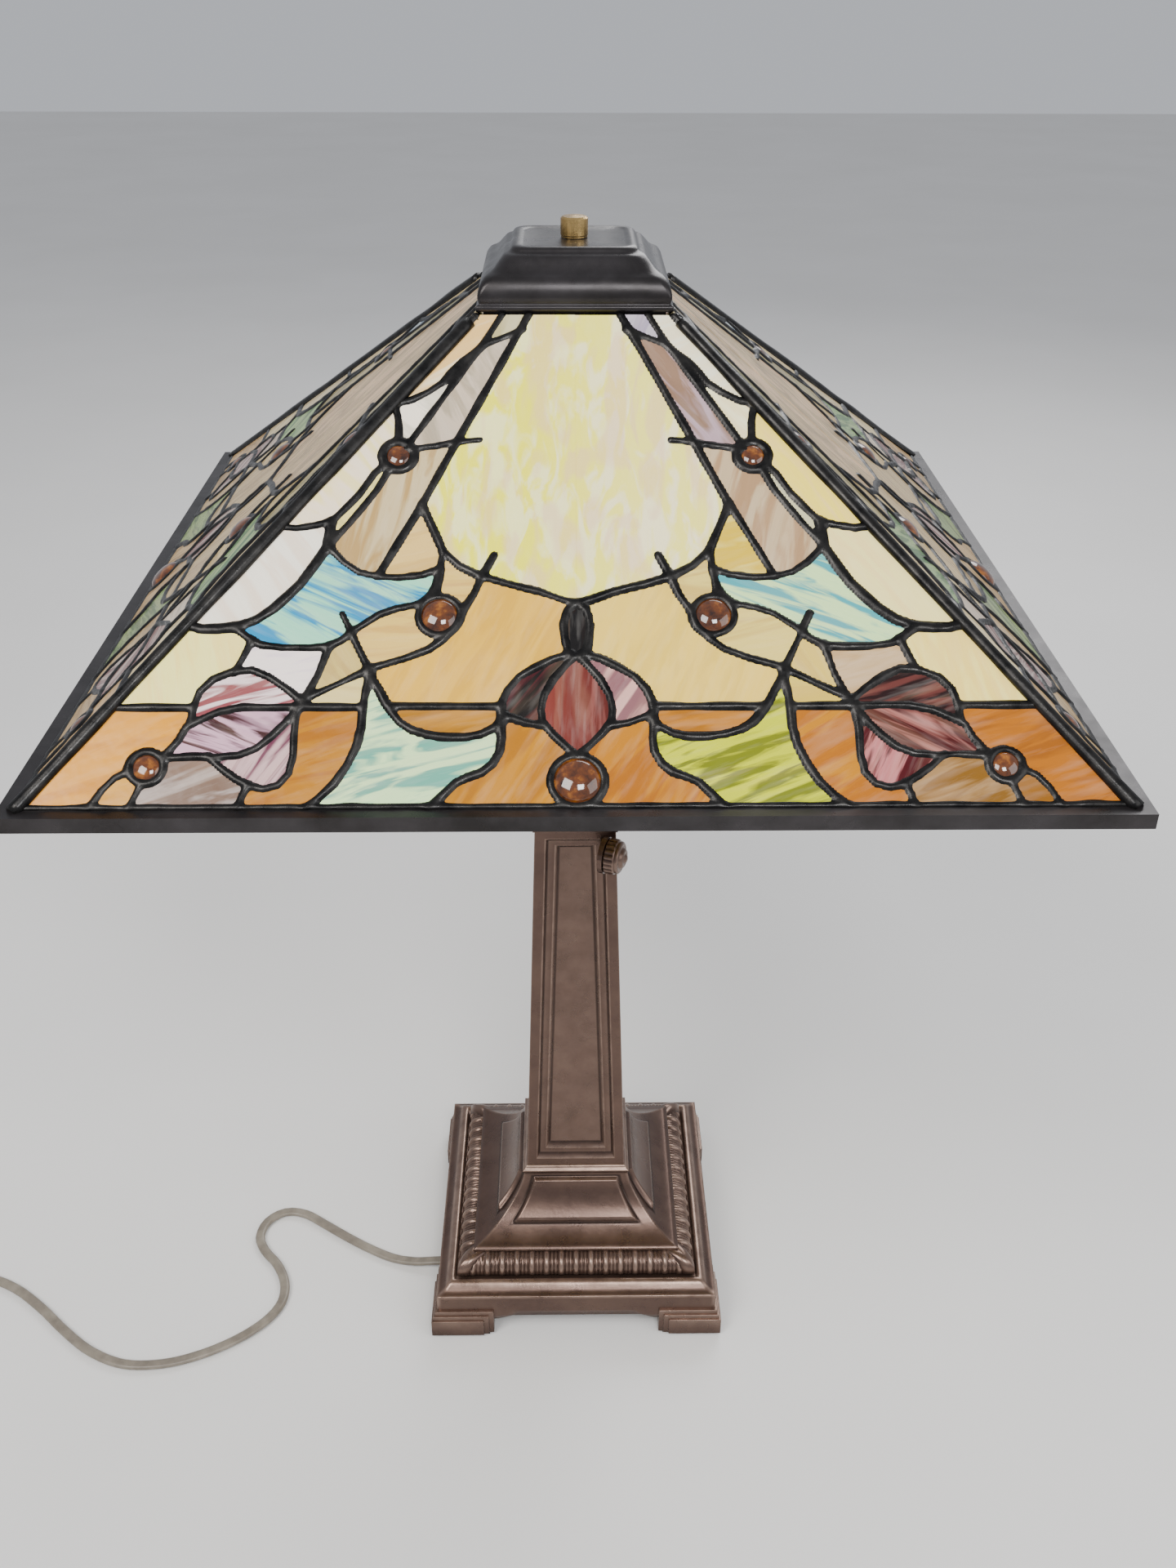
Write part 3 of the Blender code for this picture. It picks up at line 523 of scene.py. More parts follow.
# Each lead line is (half width, free start, free end, points), drawn on the right half of a panel.
# The left half is its mirror image. A free end stops in the middle of a piece of glass.
LEADS = (
    (1.8, 0, 0, ((18, 207), (58, 121), (73.5, 91))),
    (1.8, 0, 0, (
        (58, 121), (54.5, 112.5), (49.7, 101.2), (43.5, 95), (35.8, 90.7), (26, 87.6), (14, 84.4),
        (5, 80.8), (0, 79.5),
    )),
    (1.7, 1, 0, (
        (30.5, 99.5), (35, 90.5), (37.7, 83.5), (41, 78), (44.7, 70.5), (48.7, 65), (54, 61),
        (63, 57.3), (74.8, 53.7),
    )),
    (1.5, 0, 0, ((49.7, 101), (50.8, 92.5), (51.7, 83))),
    (1.6, 0, 0, ((50.5, 94), (57, 91.2), (66, 90), (73.5, 90.5), (80.5, 92.3), (86.5, 96.5), (92.5, 103))),
    (1.6, 0, 0, ((50.5, 93), (52, 87), (54.3, 82.8), (58, 79.3))),
    (1.7, 0, 0, (
        (58, 79.3), (66, 77.5), (72.5, 75), (77.2, 71.7), (82.3, 68), (85.5, 65), (90.5, 62.3),
        (97, 61.8), (107.5, 62), (115, 63), (120, 66), (125, 69.7),
    )),
    (2.3, 0, 0, (
        (92, 113.5), (92.3, 108), (92.7, 103), (97, 95.5), (102, 87.5), (106, 83), (111.5, 77.3),
        (117.5, 72.8), (124, 70.2), (131, 69.2), (137, 69.3), (143.5, 71.2),
    )),
    (1.7, 0, 0, ((112, 111.7), (105, 110.8), (98, 112), (91.8, 113.8))),
    (1.7, 0, 0, ((91.5, 114), (87, 119), (82, 125), (79, 130), (76.5, 134.3), (73, 138))),
    (1.6, 0, 0, ((92.5, 103.5), (85.5, 112.5), (80.5, 119.5), (75.5, 127), (72.5, 133), (70.5, 137))),
    (1.7, 0, 0, ((67.8, 148), (68.2, 157), (69.5, 163.5), (70.2, 166.5))),
    (1.7, 0, 0, (
        (71, 164.7), (63.5, 166.8), (57, 170.5), (51.5, 174.8), (48, 180), (44, 185), (38.5, 189.7),
        (35, 192.5), (28, 195.7), (20.5, 199.3),
    )),
    (1.7, 0, 0, ((28.5, 207), (36.5, 192), (64, 147))),
    (1.6, 0, 1, ((65.5, 144.2), (61.5, 145.3), (54, 146.3), (46.8, 147.7), (36.7, 149))),
    (1.6, 1, 0, ((86, 75.3), (82.2, 67.5), (78.7, 60), (75, 52.5))),
    (1.8, 0, 0, (
        (75.5, 53.5), (74.5, 50), (71.8, 45.5), (69, 40), (66.3, 36), (63.5, 32.5), (59, 29.5),
        (53, 27.6), (46, 26.7), (40, 26.7), (34.5, 27.8), (29.5, 30.5), (26.5, 33.5),
    )),
    (1.8, 0, 0, (
        (75, 51.5), (76.5, 42), (77, 36), (77.2, 30), (78.5, 23.5), (81.7, 16), (85.7, 9.5),
        (91, 4), (96.5, -0.5),
    )),
    (1.8, 0, 0, (
        (27.5, 33.5), (27, 26), (27.6, 21), (30, 16.5), (34, 13.2), (39, 11.4), (43, 9.5),
        (46.5, 5.8), (52.5, -0.5),
    )),
    (1.7, 0, 0, ((168.5, 38.5), (138, 38.5))),
    (1.7, 0, 0, ((98.5, 38.5), (77, 38.5))),
    (1.7, 0, 0, ((66.5, 38.5), (27, 38.5))),
    (1.7, 0, 0, (
        (0, 58.5), (4, 54.5), (8.5, 49), (11.8, 43), (13, 37), (12.3, 32.5), (8.5, 27.5), (4, 23),
        (0.5, 20), (0, 18.5),
    )),
    (1.7, 0, 0, (
        (2.2, 59.2), (9, 57), (15.5, 53.5), (21, 50), (25, 45), (27.3, 39.5), (27.5, 36),
        (24, 34.3), (18.5, 32.2), (12.6, 31.1),
    )),
    (1.7, 0, 0, ((0, 79.5), (3.6, 76.5), (4.9, 71), (4.5, 65), (3.5, 60.5), (1.5, 57.5))),
    (1.7, 0, 0, (
        (97.5, 39.5), (104, 45), (111, 50), (117.5, 53), (125, 52.3), (131.5, 49.3), (135.8, 44.5),
        (137.3, 39), (138, 33.5),
    )),
    (1.6, 0, 0, (
        (99, 38.6), (111, 38.6), (120, 38.6), (128.5, 36.8), (135, 33.7), (139.5, 31), (142, 25.7),
        (146, 20.5),
    )),
    (1.6, 0, 0, (
        (99.5, 38.5), (104.5, 32), (109, 27), (114, 22.6), (120.5, 20), (128.5, 19.4),
        (136.5, 19.6), (146.5, 19.0),
    )),
    (1.6, 0, 0, (
        (100.2, 38), (101, 28), (100.8, 20), (102, 13), (105.5, 8.7), (110.5, 7.3), (115.5, 8.5),
        (120.5, 11.3), (126, 15.3), (131, 19.5),
    )),
    (1.6, 0, 0, ((153.3, 10), (156, 3.5), (157.5, -0.5))),
    (1.6, 0, 0, ((157.5, 14.3), (163, 11.5), (167, 7), (171.3, -0.5))),
    (1.6, 0, 0, ((116, 9), (118, 4), (119, -0.5))),
    (1.7, 0, 0, ((98.5, 41.3), (87, 47), (75.5, 52.9))),
    (1.6, 0, 0, ((98.3, 40.5), (93.5, 51), (90.1, 62.8))),
    (1.6, 0, 0, ((118.3, 64.8), (121.3, 57.5), (124, 52))),
)

# Each jewel is (across, up, radius of its glass, radius of its solder ring's middle, ring's half width).
JEWELS = (
    (50.3, 74.5, 6.6, 7.6, 1.5),
    (67.8, 142.0, 4.4, 6.0, 1.9),
    (0.0, 10.0, 8.3, 9.4, 1.6),
    (152.3, 15.5, 4.8, 6.0, 1.6),
)


# How much deeper the base colours are than the colours seen, which the pale studio's reflections wash out.
GLASS_DEPTH = 1.4


def seen(colour):
    """The linear base colour that glass needs to look like a colour given in hundredths on a screen."""
    channels = linear(tuple(channel / 100.0 for channel in colour))
    grey = sum(channels) / 3.0
    return tuple(min(1.0, max(0.004, grey + (channel - grey) * GLASS_DEPTH)) for channel in channels)


# Each kind of glass: its place (across, up), its streaks' angle and strength, and the two colours it has
# on the left half, the right half and the side panels.
GLASS = {
    "bell": ((8, 150), 88, 0.8,
        ((92, 90, 48), (97, 96, 78)), ((94, 91, 60), (98, 95, 84)), ((68, 61, 50), (59, 52, 43))),
    "top_inner": ((25, 201), 70, 0.7,
        ((77, 74, 62), (66, 62, 48)), ((62, 59, 64), (76, 74, 76)), ((60, 55, 48), (72, 67, 60))),
    "top_outer": ((42, 192), 30, 0.8,
        ((88, 75, 56), (94, 89, 78)), ((100, 97, 88), (95, 91, 80)), ((82, 77, 64), (70, 62, 50))),
    "wing_upper": ((46, 163), -58, 0.8,
        ((64, 60, 54), (78, 73, 67)), ((50, 42, 37), (70, 63, 66)), ((50, 49, 40), (64, 62, 54))),
    "lens_upper": ((64, 157), -50, 0.7,
        ((97, 93, 87), (78, 76, 70)), ((98, 95, 82), (92, 86, 70)), ((60, 66, 72), (80, 81, 79))),
    "outer_mid": ((85, 140), 120, 0.8,
        ((98, 92, 83), (95, 90, 68)), ((97, 87, 54), (94, 84, 60)), ((83, 77, 65), (74, 68, 56))),
    "sliver": ((83, 120), 120, 0.5,
        ((88, 83, 60), (72, 70, 50)), ((72, 72, 64), (84, 81, 66)), ((64, 66, 52), (78, 77, 62))),
    "wing_lower": ((72, 115), 75, 0.9,
        ((77, 71, 59), (64, 54, 40)), ((74, 67, 57), (60, 50, 41)), ((52, 49, 38), (65, 61, 48))),
    "wedge": ((60, 101), 20, 0.8,
        ((85, 74, 54), (77, 66, 47)), ((79, 69, 39), (86, 79, 53)), ((68, 61, 46), (57, 50, 37))),
    "collar": ((44, 88), 40, 0.6,
        ((86, 80, 73), (76, 64, 55)), ((84, 74, 58), (89, 83, 72)), ((75, 70, 60), (64, 58, 48))),
    "fan1": ((85, 80), 150, 1.0,
        ((62, 82, 72), (26, 52, 66)), ((80, 90, 70), (38, 60, 62)), ((56, 64, 48), (32, 42, 30))),
    "outer_low": ((125, 95), 130, 0.7,
        ((100, 97, 92), (93, 87, 80)), ((99, 92, 70), (94, 86, 66)), ((82, 77, 66), (72, 66, 56))),
    "jewel_bed": ((62, 67), 10, 0.7,
        ((84, 73, 50), (74, 61, 42)), ((84, 77, 53), (74, 64, 44)), ((78, 71, 57), (66, 58, 44))),
    "golden": ((25, 70), 62, 0.6,
        ((84, 69, 43), (76, 61, 37)), ((90, 79, 51), (83, 72, 45)), ((72, 65, 53), (58, 50, 40))),
    "tri_a": ((84, 58), 120, 0.6,
        ((74, 67, 48), (66, 57, 40)), ((82, 73, 48), (74, 65, 43)), ((78, 73, 62), (68, 62, 50))),
    "tri_b": ((86, 42), 0, 0.6,
        ((83, 77, 58), (75, 67, 50)), ((83, 75, 47), (76, 66, 42)), ((78, 73, 62), (68, 62, 50))),
    "quad_c": ((108, 57), 15, 0.7,
        ((96, 92, 90), (86, 80, 84)), ((70, 60, 48), (77, 69, 59)), ((72, 67, 62), (82, 78, 72))),
    "outer_side": ((145, 55), 100, 0.7,
        ((99, 94, 68), (96, 88, 62)), ((97, 89, 62), (92, 82, 56)), ((84, 79, 67), (73, 67, 55))),
    "upper_leaf": ((118, 45), 12, 1.0,
        ((90, 84, 84), (48, 28, 30)), ((14, 9, 7), (34, 22, 21)), ((42, 32, 32), (62, 56, 54))),
    "mid_leaf": ((122, 29), -28, 1.0,
        ((76, 64, 69), (20, 8, 11)), ((24, 8, 9), (58, 42, 40)), ((46, 37, 37), (68, 63, 61))),
    "low_leaf": ((110, 16), 60, 1.0,
        ((76, 66, 66), (36, 22, 27)), ((66, 46, 46), (26, 11, 13)), ((48, 40, 40), (70, 66, 64))),
    "band_outer": ((178, 17), 20, 0.9,
        ((78, 57, 28), (73, 52, 24)), ((60, 40, 18), (52, 34, 15)), ((72, 62, 49), (60, 51, 40))),
    "band_tri": ((163, 4), 20, 0.7,
        ((78, 60, 37), (72, 54, 33)), ((52, 37, 20), (47, 33, 17)), ((70, 61, 48), (58, 50, 38))),
    "band_taupe": ((138, 10), 15, 0.9,
        ((44, 37, 33), (62, 58, 56)), ((44, 33, 21), (58, 48, 37)), ((66, 58, 47), (57, 49, 39))),
    "band_mid": ((90, 25), 25, 0.9,
        ((65, 47, 27), (57, 39, 20)), ((60, 40, 15), (68, 49, 24)), ((70, 62, 50), (60, 52, 41))),
    "lens": ((50, 33), 8, 0.9,
        ((64, 48, 30), (56, 41, 24)), ((64, 45, 24), (56, 39, 19)), ((68, 61, 49), (58, 51, 40))),
    "fan2": ((60, 17), 20, 1.0,
        ((80, 90, 72), (44, 62, 56)), ((74, 76, 6), (42, 44, 10)), ((52, 58, 42), (34, 40, 28))),
    "band_inner": ((18, 18), 60, 0.9,
        ((67, 49, 27), (58, 41, 21)), ((65, 46, 22), (57, 38, 17)), ((70, 61, 48), (60, 51, 39))),
    "petal_side": ((20, 43), 55, 0.9,
        ((8, 4, 4), (24, 13, 14)), ((80, 66, 63), (44, 32, 34)), ((48, 41, 40), (68, 63, 60))),
    "petal_mid": ((3, 38), 88, 1.0,
        ((48, 28, 26), (16, 3, 4)), ((20, 5, 5), (56, 38, 36)), ((42, 32, 32), (64, 58, 56))),
    "head": ((1, 69), 80, 0.6,
        ((9, 7, 6), (16, 12, 10)), ((7, 6, 5), (12, 9, 8)), ((9, 7, 6), (16, 12, 10))),
}


def hip(up):
    """How far the panel reaches to each side at a distance up its slope."""
    return GLASS_FOOT - (GLASS_FOOT - GLASS_HEAD) * up / GLASS_LENGTH


def on_panel(side, across, up, out):
    """The place of a point (across, up the slope, out of the glass), given in millimetres."""
    sine = math.sin(GLASS_SLOPE)
    cosine = math.cos(GLASS_SLOPE)
    back = -GLASS_FOOT + up * cosine - out * sine
    spot = Vector((across, back, up * sine + out * cosine)) * MM
    spot.z += RIM_TOP
    return side_turn(side) @ spot


def ring_points(jewel, count):
    """Points round a jewel's edge, or round the right half of one on the centre line."""
    across, up, radius = jewel[:3]
    if across > 0.0:
        angles = [2.0 * math.pi * step / count for step in range(count)]
    else:
        angles = [math.pi * (step / count - 0.5) for step in range(count + 1)]
    return [(across + radius * math.cos(a), up + radius * math.sin(a)) for a in angles]


def stretched(points, free_start, free_end, reach=2.6):
    """A lead line's points with each end that meets another line run on a little past it."""
    points = [Vector(point) for point in points]
    if not free_start and points[0].x > 0.0:
        points[0] = points[0] + (points[0] - points[1]).normalized() * reach
    if not free_end and points[-1].x > 0.0:
        points[-1] = points[-1] + (points[-1] - points[-2]).normalized() * reach
    return points


def panel_lines():
    """The points and edges that the lead lines and jewels draw on the right half of a panel."""
    verts = []
    edges = []

    def chain(points, closed=False):
        """Adds a run of edges that the cutting has to keep."""
        first = len(verts)
        verts.extend(Vector(point) for point in points)
        edges.extend((first + i, first + i + 1) for i in range(len(points) - 1))
        if closed:
            edges.append((len(verts) - 1, first))

    chain(((0, 0), (hip(0), 0), (hip(GLASS_LENGTH), GLASS_LENGTH), (0, GLASS_LENGTH)), True)
    for _, free_start, free_end, points in LEADS:
        chain(stretched(points, free_start, free_end))
    for jewel in JEWELS:
        chain(ring_points(jewel, 20), jewel[0] > 0.0)
    return verts, edges


def filling_points():
    """A loose lattice of points inside the panel, so that its triangles are not very long."""
    spacing = 9.0
    margin = 2.0
    points = []
    for column in range(1, 22):
        for row in range(1, 23):
            across = column * spacing + (row % 2) * spacing / 2.0
            if across < hip(row * spacing) - margin:
                points.append(Vector((across, row * spacing)))
    return points


def centre_of(points):
    """The mean of some points in the panel's plane."""
    return sum(points, Vector((0.0, 0.0))) / len(points)


def edges_of(triangle):
    """A triangle's edges, each with its two point numbers in rising order."""
    return [tuple(sorted((triangle[corner], triangle[corner - 1]))) for corner in range(len(triangle))]


def separate(triangles, walls):
    """Groups of triangles that reach one another without crossing a wall."""
    owners = {}
    for index, triangle in enumerate(triangles):
        for edge in edges_of(triangle):
            owners.setdefault(edge, []).append(index)
    reached = set()
    groups = []
    for start in range(len(triangles)):
        if start in reached:
            continue
        reached.add(start)
        group = [start]
        for index in group:
            for edge in edges_of(triangles[index]):
                if edge in walls:
                    continue
                fresh = [other for other in owners[edge] if other not in reached]
                reached.update(fresh)
                group += fresh
        groups.append(group)
    return groups


def kind_of(middles):
    """The kind of glass whose own place is nearest to a piece, or nothing where a jewel is set."""
    if any((Vector(jewel[:2]) - middles[0]).length < jewel[2] * 0.9 for jewel in JEWELS):
        return None
    return min(GLASS, key=lambda kind: min((middle - Vector(GLASS[kind][0])).length for middle in middles))


def cut_glass():
    """Divides the right half of a panel along its lead lines. Gives each kind's pieces as triangles."""
    verts, edges = panel_lines()
    verts += filling_points()
    only_inside = 1
    tolerance = 0.05
    cut = delaunay_2d_cdt(verts, edges, [], only_inside, tolerance)
    spots, lines, triangles, _, sources, _ = cut
    walls = {tuple(sorted(line)) for line, source in zip(lines, sources) if source}
    kinds = {}
    for group in separate(triangles, walls):
        piece = [triangles[index] for index in group]
        kind = kind_of([centre_of([spots[i] for i in triangle]) for triangle in piece])
        if kind:
            kinds.setdefault(kind, []).append(piece)
    return spots, kinds


# ---------------------------------------------------------------- shade: the glass

# The values that the glass shader reads at each point, and their forms.
GLASS_VALUES = {
    "tint": "FLOAT_COLOR",
    "streak": "FLOAT_COLOR",
    "amount": "FLOAT",
    "blush": "FLOAT",
    "flow": "FLOAT_VECTOR",
}

# How fast the streak pattern runs along the streaks and across them, for each millimetre.
ALONG_STREAKS = 0.0022
ALONG_BELL_STREAKS = 0.0045
ACROSS_STREAKS = 0.0125
LEAF_FINENESS = 1.5

# How far a piece leans out of its panel, for each millimetre, and stands above or below its neighbours.
PIECE_LEAN = 0.006
PIECE_LIFT = 0.15


def crosses_centre(kind):
    """Whether a kind of glass lies across the panel's centre line, in one piece with its mirror image."""
    nearest = 9.0
    return GLASS[kind][0][0] < nearest


def panel_colours(kind, side, hand):
    """The two colours of a kind of glass on one half of one panel."""
    left, right, end_panel = GLASS[kind][3:]
    if side in (1, 3):
        pair = end_panel
    else:
        pair = left if (hand < 0) == (side == 0) else right
    return [seen(colour) for colour in pair]


def streak_manner(kind, side, chance):
    """One kind's streak angle, its shade, and its own place in the streak pattern."""
    angle = math.radians(GLASS[kind][1] + chance.uniform(-8.0, 8.0))
    shade = chance.uniform(0.94, 1.05)
    drift = Vector((chance.uniform(0, 50), chance.uniform(0, 50), chance.uniform(0, 50)))
    if crosses_centre(kind):
        angle = math.radians(88.0)
        drift = Vector((side * 3.0, 1.0, len(kind)))
    return angle, shade, drift


def streak_flow(kind, across, up, angle, drift):
    """A point's place in the streak pattern, which is drawn out along the streaks."""
    along = across * math.cos(angle) + up * math.sin(angle)
    sideways = -across * math.sin(angle) + up * math.cos(angle)
    stretch = ALONG_BELL_STREAKS if kind == "bell" else ALONG_STREAKS
    fineness = LEAF_FINENESS if GLASS[kind][2] > 0.95 else 1.0
    return along * stretch + drift.x, sideways * ACROSS_STREAKS * fineness + drift.y, drift.z


def slab_faces(piece, numbers, hand):
    """The faces of one piece of glass: its top, its underside and its rim."""
    faces = []
    rims = {}
    for triangle in piece:
        order = triangle if hand > 0 else triangle[::-1]
        faces.append(tuple(numbers[(i, 0.0)] for i in order))
        faces.append(tuple(numbers[(i, -GLASS_THICK)] for i in order[::-1]))
        for corner in range(len(order)):
            rims[(order[corner], order[(corner + 1) % len(order)])] = True
    for start, end in rims:
        if (end, start) not in rims:
            top = (numbers[(start, 0.0)], numbers[(end, 0.0)])
            low = (numbers[(start, -GLASS_THICK)], numbers[(end, -GLASS_THICK)])
            faces.append((top[0], low[0], low[1], top[1]))
    return faces


def add_piece(panel, spots, piece, kind, side, hand, manner, chance):
    """Adds one piece of glass to a panel: a slab that leans a little its own way."""
    angle, shade, drift = manner
    used = sorted({corner for triangle in piece for corner in triangle})
    centre = centre_of([spots[i] for i in used])
    lean = Vector((chance.uniform(-1, 1), chance.uniform(-1, 1))) * PIECE_LEAN
    if crosses_centre(kind):
        lean = Vector((0.0, 0.0))
    lift = chance.uniform(-PIECE_LIFT, PIECE_LIFT)
    own = panel_colours(kind, side, hand)
    other = panel_colours(kind, side, -hand)
    blush = 0.5 if kind == "bell" else 0.06
    merge_reach = 22.0
    numbers = {}
    for layer in (0.0, -GLASS_THICK):
        for index in used:
            spot = spots[index]
            across = hand * spot.x
            numbers[(index, layer)] = len(panel["verts"])
            panel["verts"].append(on_panel(side, across, spot.y, layer + lift + lean.dot(spot - centre)))
            share = 0.5 * (1.0 - smoothstep(spot.x / merge_reach)) if crosses_centre(kind) else 0.0
            tint, streak = ([blend(a, b, share) for a, b in zip(*pair)] for pair in zip(own, other))
            panel["tint"].extend((*(min(1.0, channel * shade) for channel in tint), 1.0))
            panel["streak"].extend((*streak, 1.0))
            panel["amount"].append(GLASS[kind][2])
            panel["blush"].append(blush)
            panel["flow"].extend(streak_flow(kind, across, spot.y, angle, drift))
    panel["faces"] += slab_faces(piece, numbers, hand)


def make_glass():
    """The glass of all four panels, each piece with its own colours and streaks."""
    spots, kinds = cut_glass()
    chance = random.Random(7)
    for side, side_name in enumerate(SIDES):
        panel = {name: [] for name in ("verts", "faces", *GLASS_VALUES)}
        for hand in (-1, 1):
            for kind, pieces in kinds.items():
                manner = streak_manner(kind, side, chance)
                for piece in pieces:
                    add_piece(panel, spots, piece, kind, side, hand, manner, chance)
        name = f"glass_{side_name}"
        glass = add_mesh(name, panel["verts"], panel["faces"], "art_glass", "shade", smooth=False)
        for value, form in GLASS_VALUES.items():
            store(glass, value, form, panel[value])
        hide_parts(f"glass_panel_{side_name}")


# ---------------------------------------------------------------- shade: solder beads and jewels

# The solder is a height field on a lattice over each panel.
LATTICE = 0.9
LATTICE_FOOT = -0.6


def bead_field(across, up):
    """How far inside the solder each place lies, in millimetres, with lines that meet run together."""
    merge = 0.45
    roundness = 0.2
    line_trim = 0.1
    ring_swell = 0.15
    far = 9.0
    rim_line = (1.5, ((0.0, 0.6), (GLASS_FOOT, 0.6)))
    hip_line = (1.9, ((hip(-1.0), -1.0), (hip(GLASS_LENGTH), GLASS_LENGTH)))
    total = np.zeros_like(across)
    flat = np.abs(across)
    lines = [(half, points) for half, _, _, points in LEADS] + [rim_line, hip_line]
    for half, points in lines:
        nearest = np.full_like(across, 1e6)
        for (x0, y0), (x1, y1) in zip(points[:-1], points[1:]):
            run = np.array((x1 - x0, y1 - y0), dtype=float)
            share = ((flat - x0) * run[0] + (up - y0) * run[1]) / run.dot(run)
            share = np.clip(share, 0.0, 1.0)
            gap = (flat - x0 - share * run[0]) ** 2 + (up - y0 - share * run[1]) ** 2
            nearest = np.minimum(nearest, gap)
        inside = half - line_trim - np.sqrt(nearest + roundness)
        total += np.exp(np.clip(inside, -far, far) / merge)
    for x, y, _, middle, half in JEWELS:
        gap = np.sqrt((flat - x) ** 2 + (up - y) ** 2) - middle
        inside = half + ring_swell - np.sqrt(gap**2 + roundness)
        total += np.exp(np.clip(inside, -far, far) / merge)
    return merge * np.log(np.maximum(total, 1e-9))


def waver(across, up, seed, size):
    """A gentle unevenness from a few crossed waves."""
    waves = 7
    chance = random.Random(seed)
    total = np.zeros_like(across)
    for _ in range(waves):
        turn = chance.uniform(0.0, math.pi)
        pitch = size * chance.uniform(0.7, 1.6)
        phase = chance.uniform(0.0, 2.0 * math.pi)
        total += np.sin((across * math.cos(turn) + up * math.sin(turn)) * 2.0 * math.pi / pitch + phase)
    return total / waves


def solder_lattice():
    """The lattice's places (across, up), spread evenly to both sides of the centre line."""
    columns = int(2.0 * (GLASS_FOOT + 1.0) / LATTICE) + 1
    rows = int((GLASS_LENGTH + 1.0) / LATTICE) + 1
    across = (np.arange(columns) - (columns - 1) / 2.0) * LATTICE
    return np.meshgrid(across, np.arange(rows) * LATTICE + LATTICE_FOOT, indexing="ij")


def bead_heights(inside, across, up, side):
    """The solder's height over the glass: a round crown that swells and sinks along the lines."""
    crown_height = 1.25
    unevenness = 0.25
    shoulder = 0.8
    fall = 1.5
    deepest = -0.5
    crown = crown_height * (1.0 + unevenness * waver(across, up, side + 20, 9.0))
    height = crown * (1.0 - np.exp(-np.maximum(inside, 0.0) / shoulder))
    return np.maximum(height + fall * np.minimum(inside, 0.0), deepest)


def cells_kept(inside, past_edge):
    """The lattice's cells that carry solder: those near a line and not past the panel's edge."""
    near_line = -0.9
    edge_room = 0.4
    near = inside > near_line
    kept = near[:-1, :-1] | near[1:, :-1] | near[:-1, 1:] | near[1:, 1:]
    return kept & (past_edge[:-1, :-1] < edge_room)


def network_faces(kept, number, count):
    """Faces over the kept cells above and below the glass, and round the network's edges."""
    beside = (((0, -1), 0, 1), ((1, 0), 1, 2), ((0, 1), 2, 3), ((-1, 0), 3, 0))
    fenced = np.pad(kept, 1)
    faces = []
    for x, y in np.argwhere(kept):
        ring = (number[x, y], number[x + 1, y], number[x + 1, y + 1], number[x, y + 1])
        faces.append(ring)
        faces.append(tuple(count + i for i in ring[::-1]))
        for (dx, dy), a, b in beside:
            if not fenced[x + 1 + dx, y + 1 + dy]:
                faces.append((ring[b], ring[a], count + ring[a], count + ring[b]))
    return faces


def make_leading():
    """The solder on each panel: one rounded network of beads on both faces of the glass."""
    unevenness = 0.38
    across, up = solder_lattice()
    columns, rows = across.shape
    field = bead_field(across, up)
    past_edge = np.abs(across) - hip(up)
    for side, side_name in enumerate(SIDES):
        inside = field + unevenness * waver(across, up, side, 14.0)
        height = bead_heights(inside, across, up, side)
        kept = cells_kept(inside, past_edge)
        used = np.zeros(across.shape, dtype=bool)
        for dx in (0, 1):
            for dy in (0, 1):
                used[dx : columns - 1 + dx, dy : rows - 1 + dy] |= kept
        count = int(used.sum())
        number = np.full(across.shape, -1, dtype=int)
        number[used] = np.arange(count)
        verts = []
        for face, sign in ((0.0, 1.0), (-GLASS_THICK, -1.0)):
            for a, u, h in zip(across[used], up[used], height[used]):
                verts.append(on_panel(side, a, u, face + sign * h))
        faces = network_faces(kept, number, count)
        add_mesh(f"solder_{side_name}", verts, faces, "solder_patina", "shade")


def make_jewels():
    """Domed glass cabochons, four kinds on each panel, their feet held in the solder rings."""
    rings = 8
    steps = 24
    held = 0.7
    sunk = 0.9
    flatness = 0.52
    for side, side_name in enumerate(SIDES):
        verts = []
        faces = []
        for x, y, radius, _, _ in JEWELS:
            for hand in (-1, 1) if x > 0.0 else (1,):
                faces += ring_faces(rings + 1, steps, len(verts))
                for ring in range(rings + 1):
                    tilt = math.pi * (ring / rings - 0.5)
                    reach = (radius + held) * math.cos(tilt)
                    out = flatness * radius * math.sin(tilt) - sunk
                    for step in range(steps):
                        turn = 2.0 * math.pi * step / steps
                        across = hand * x + reach * math.cos(turn)
                        verts.append(on_panel(side, across, y + reach * math.sin(turn), out))
        jewels = add_mesh(f"jewels_{side_name}", verts, faces, "art_glass", "shade", material="jewel")
        weld(jewels)


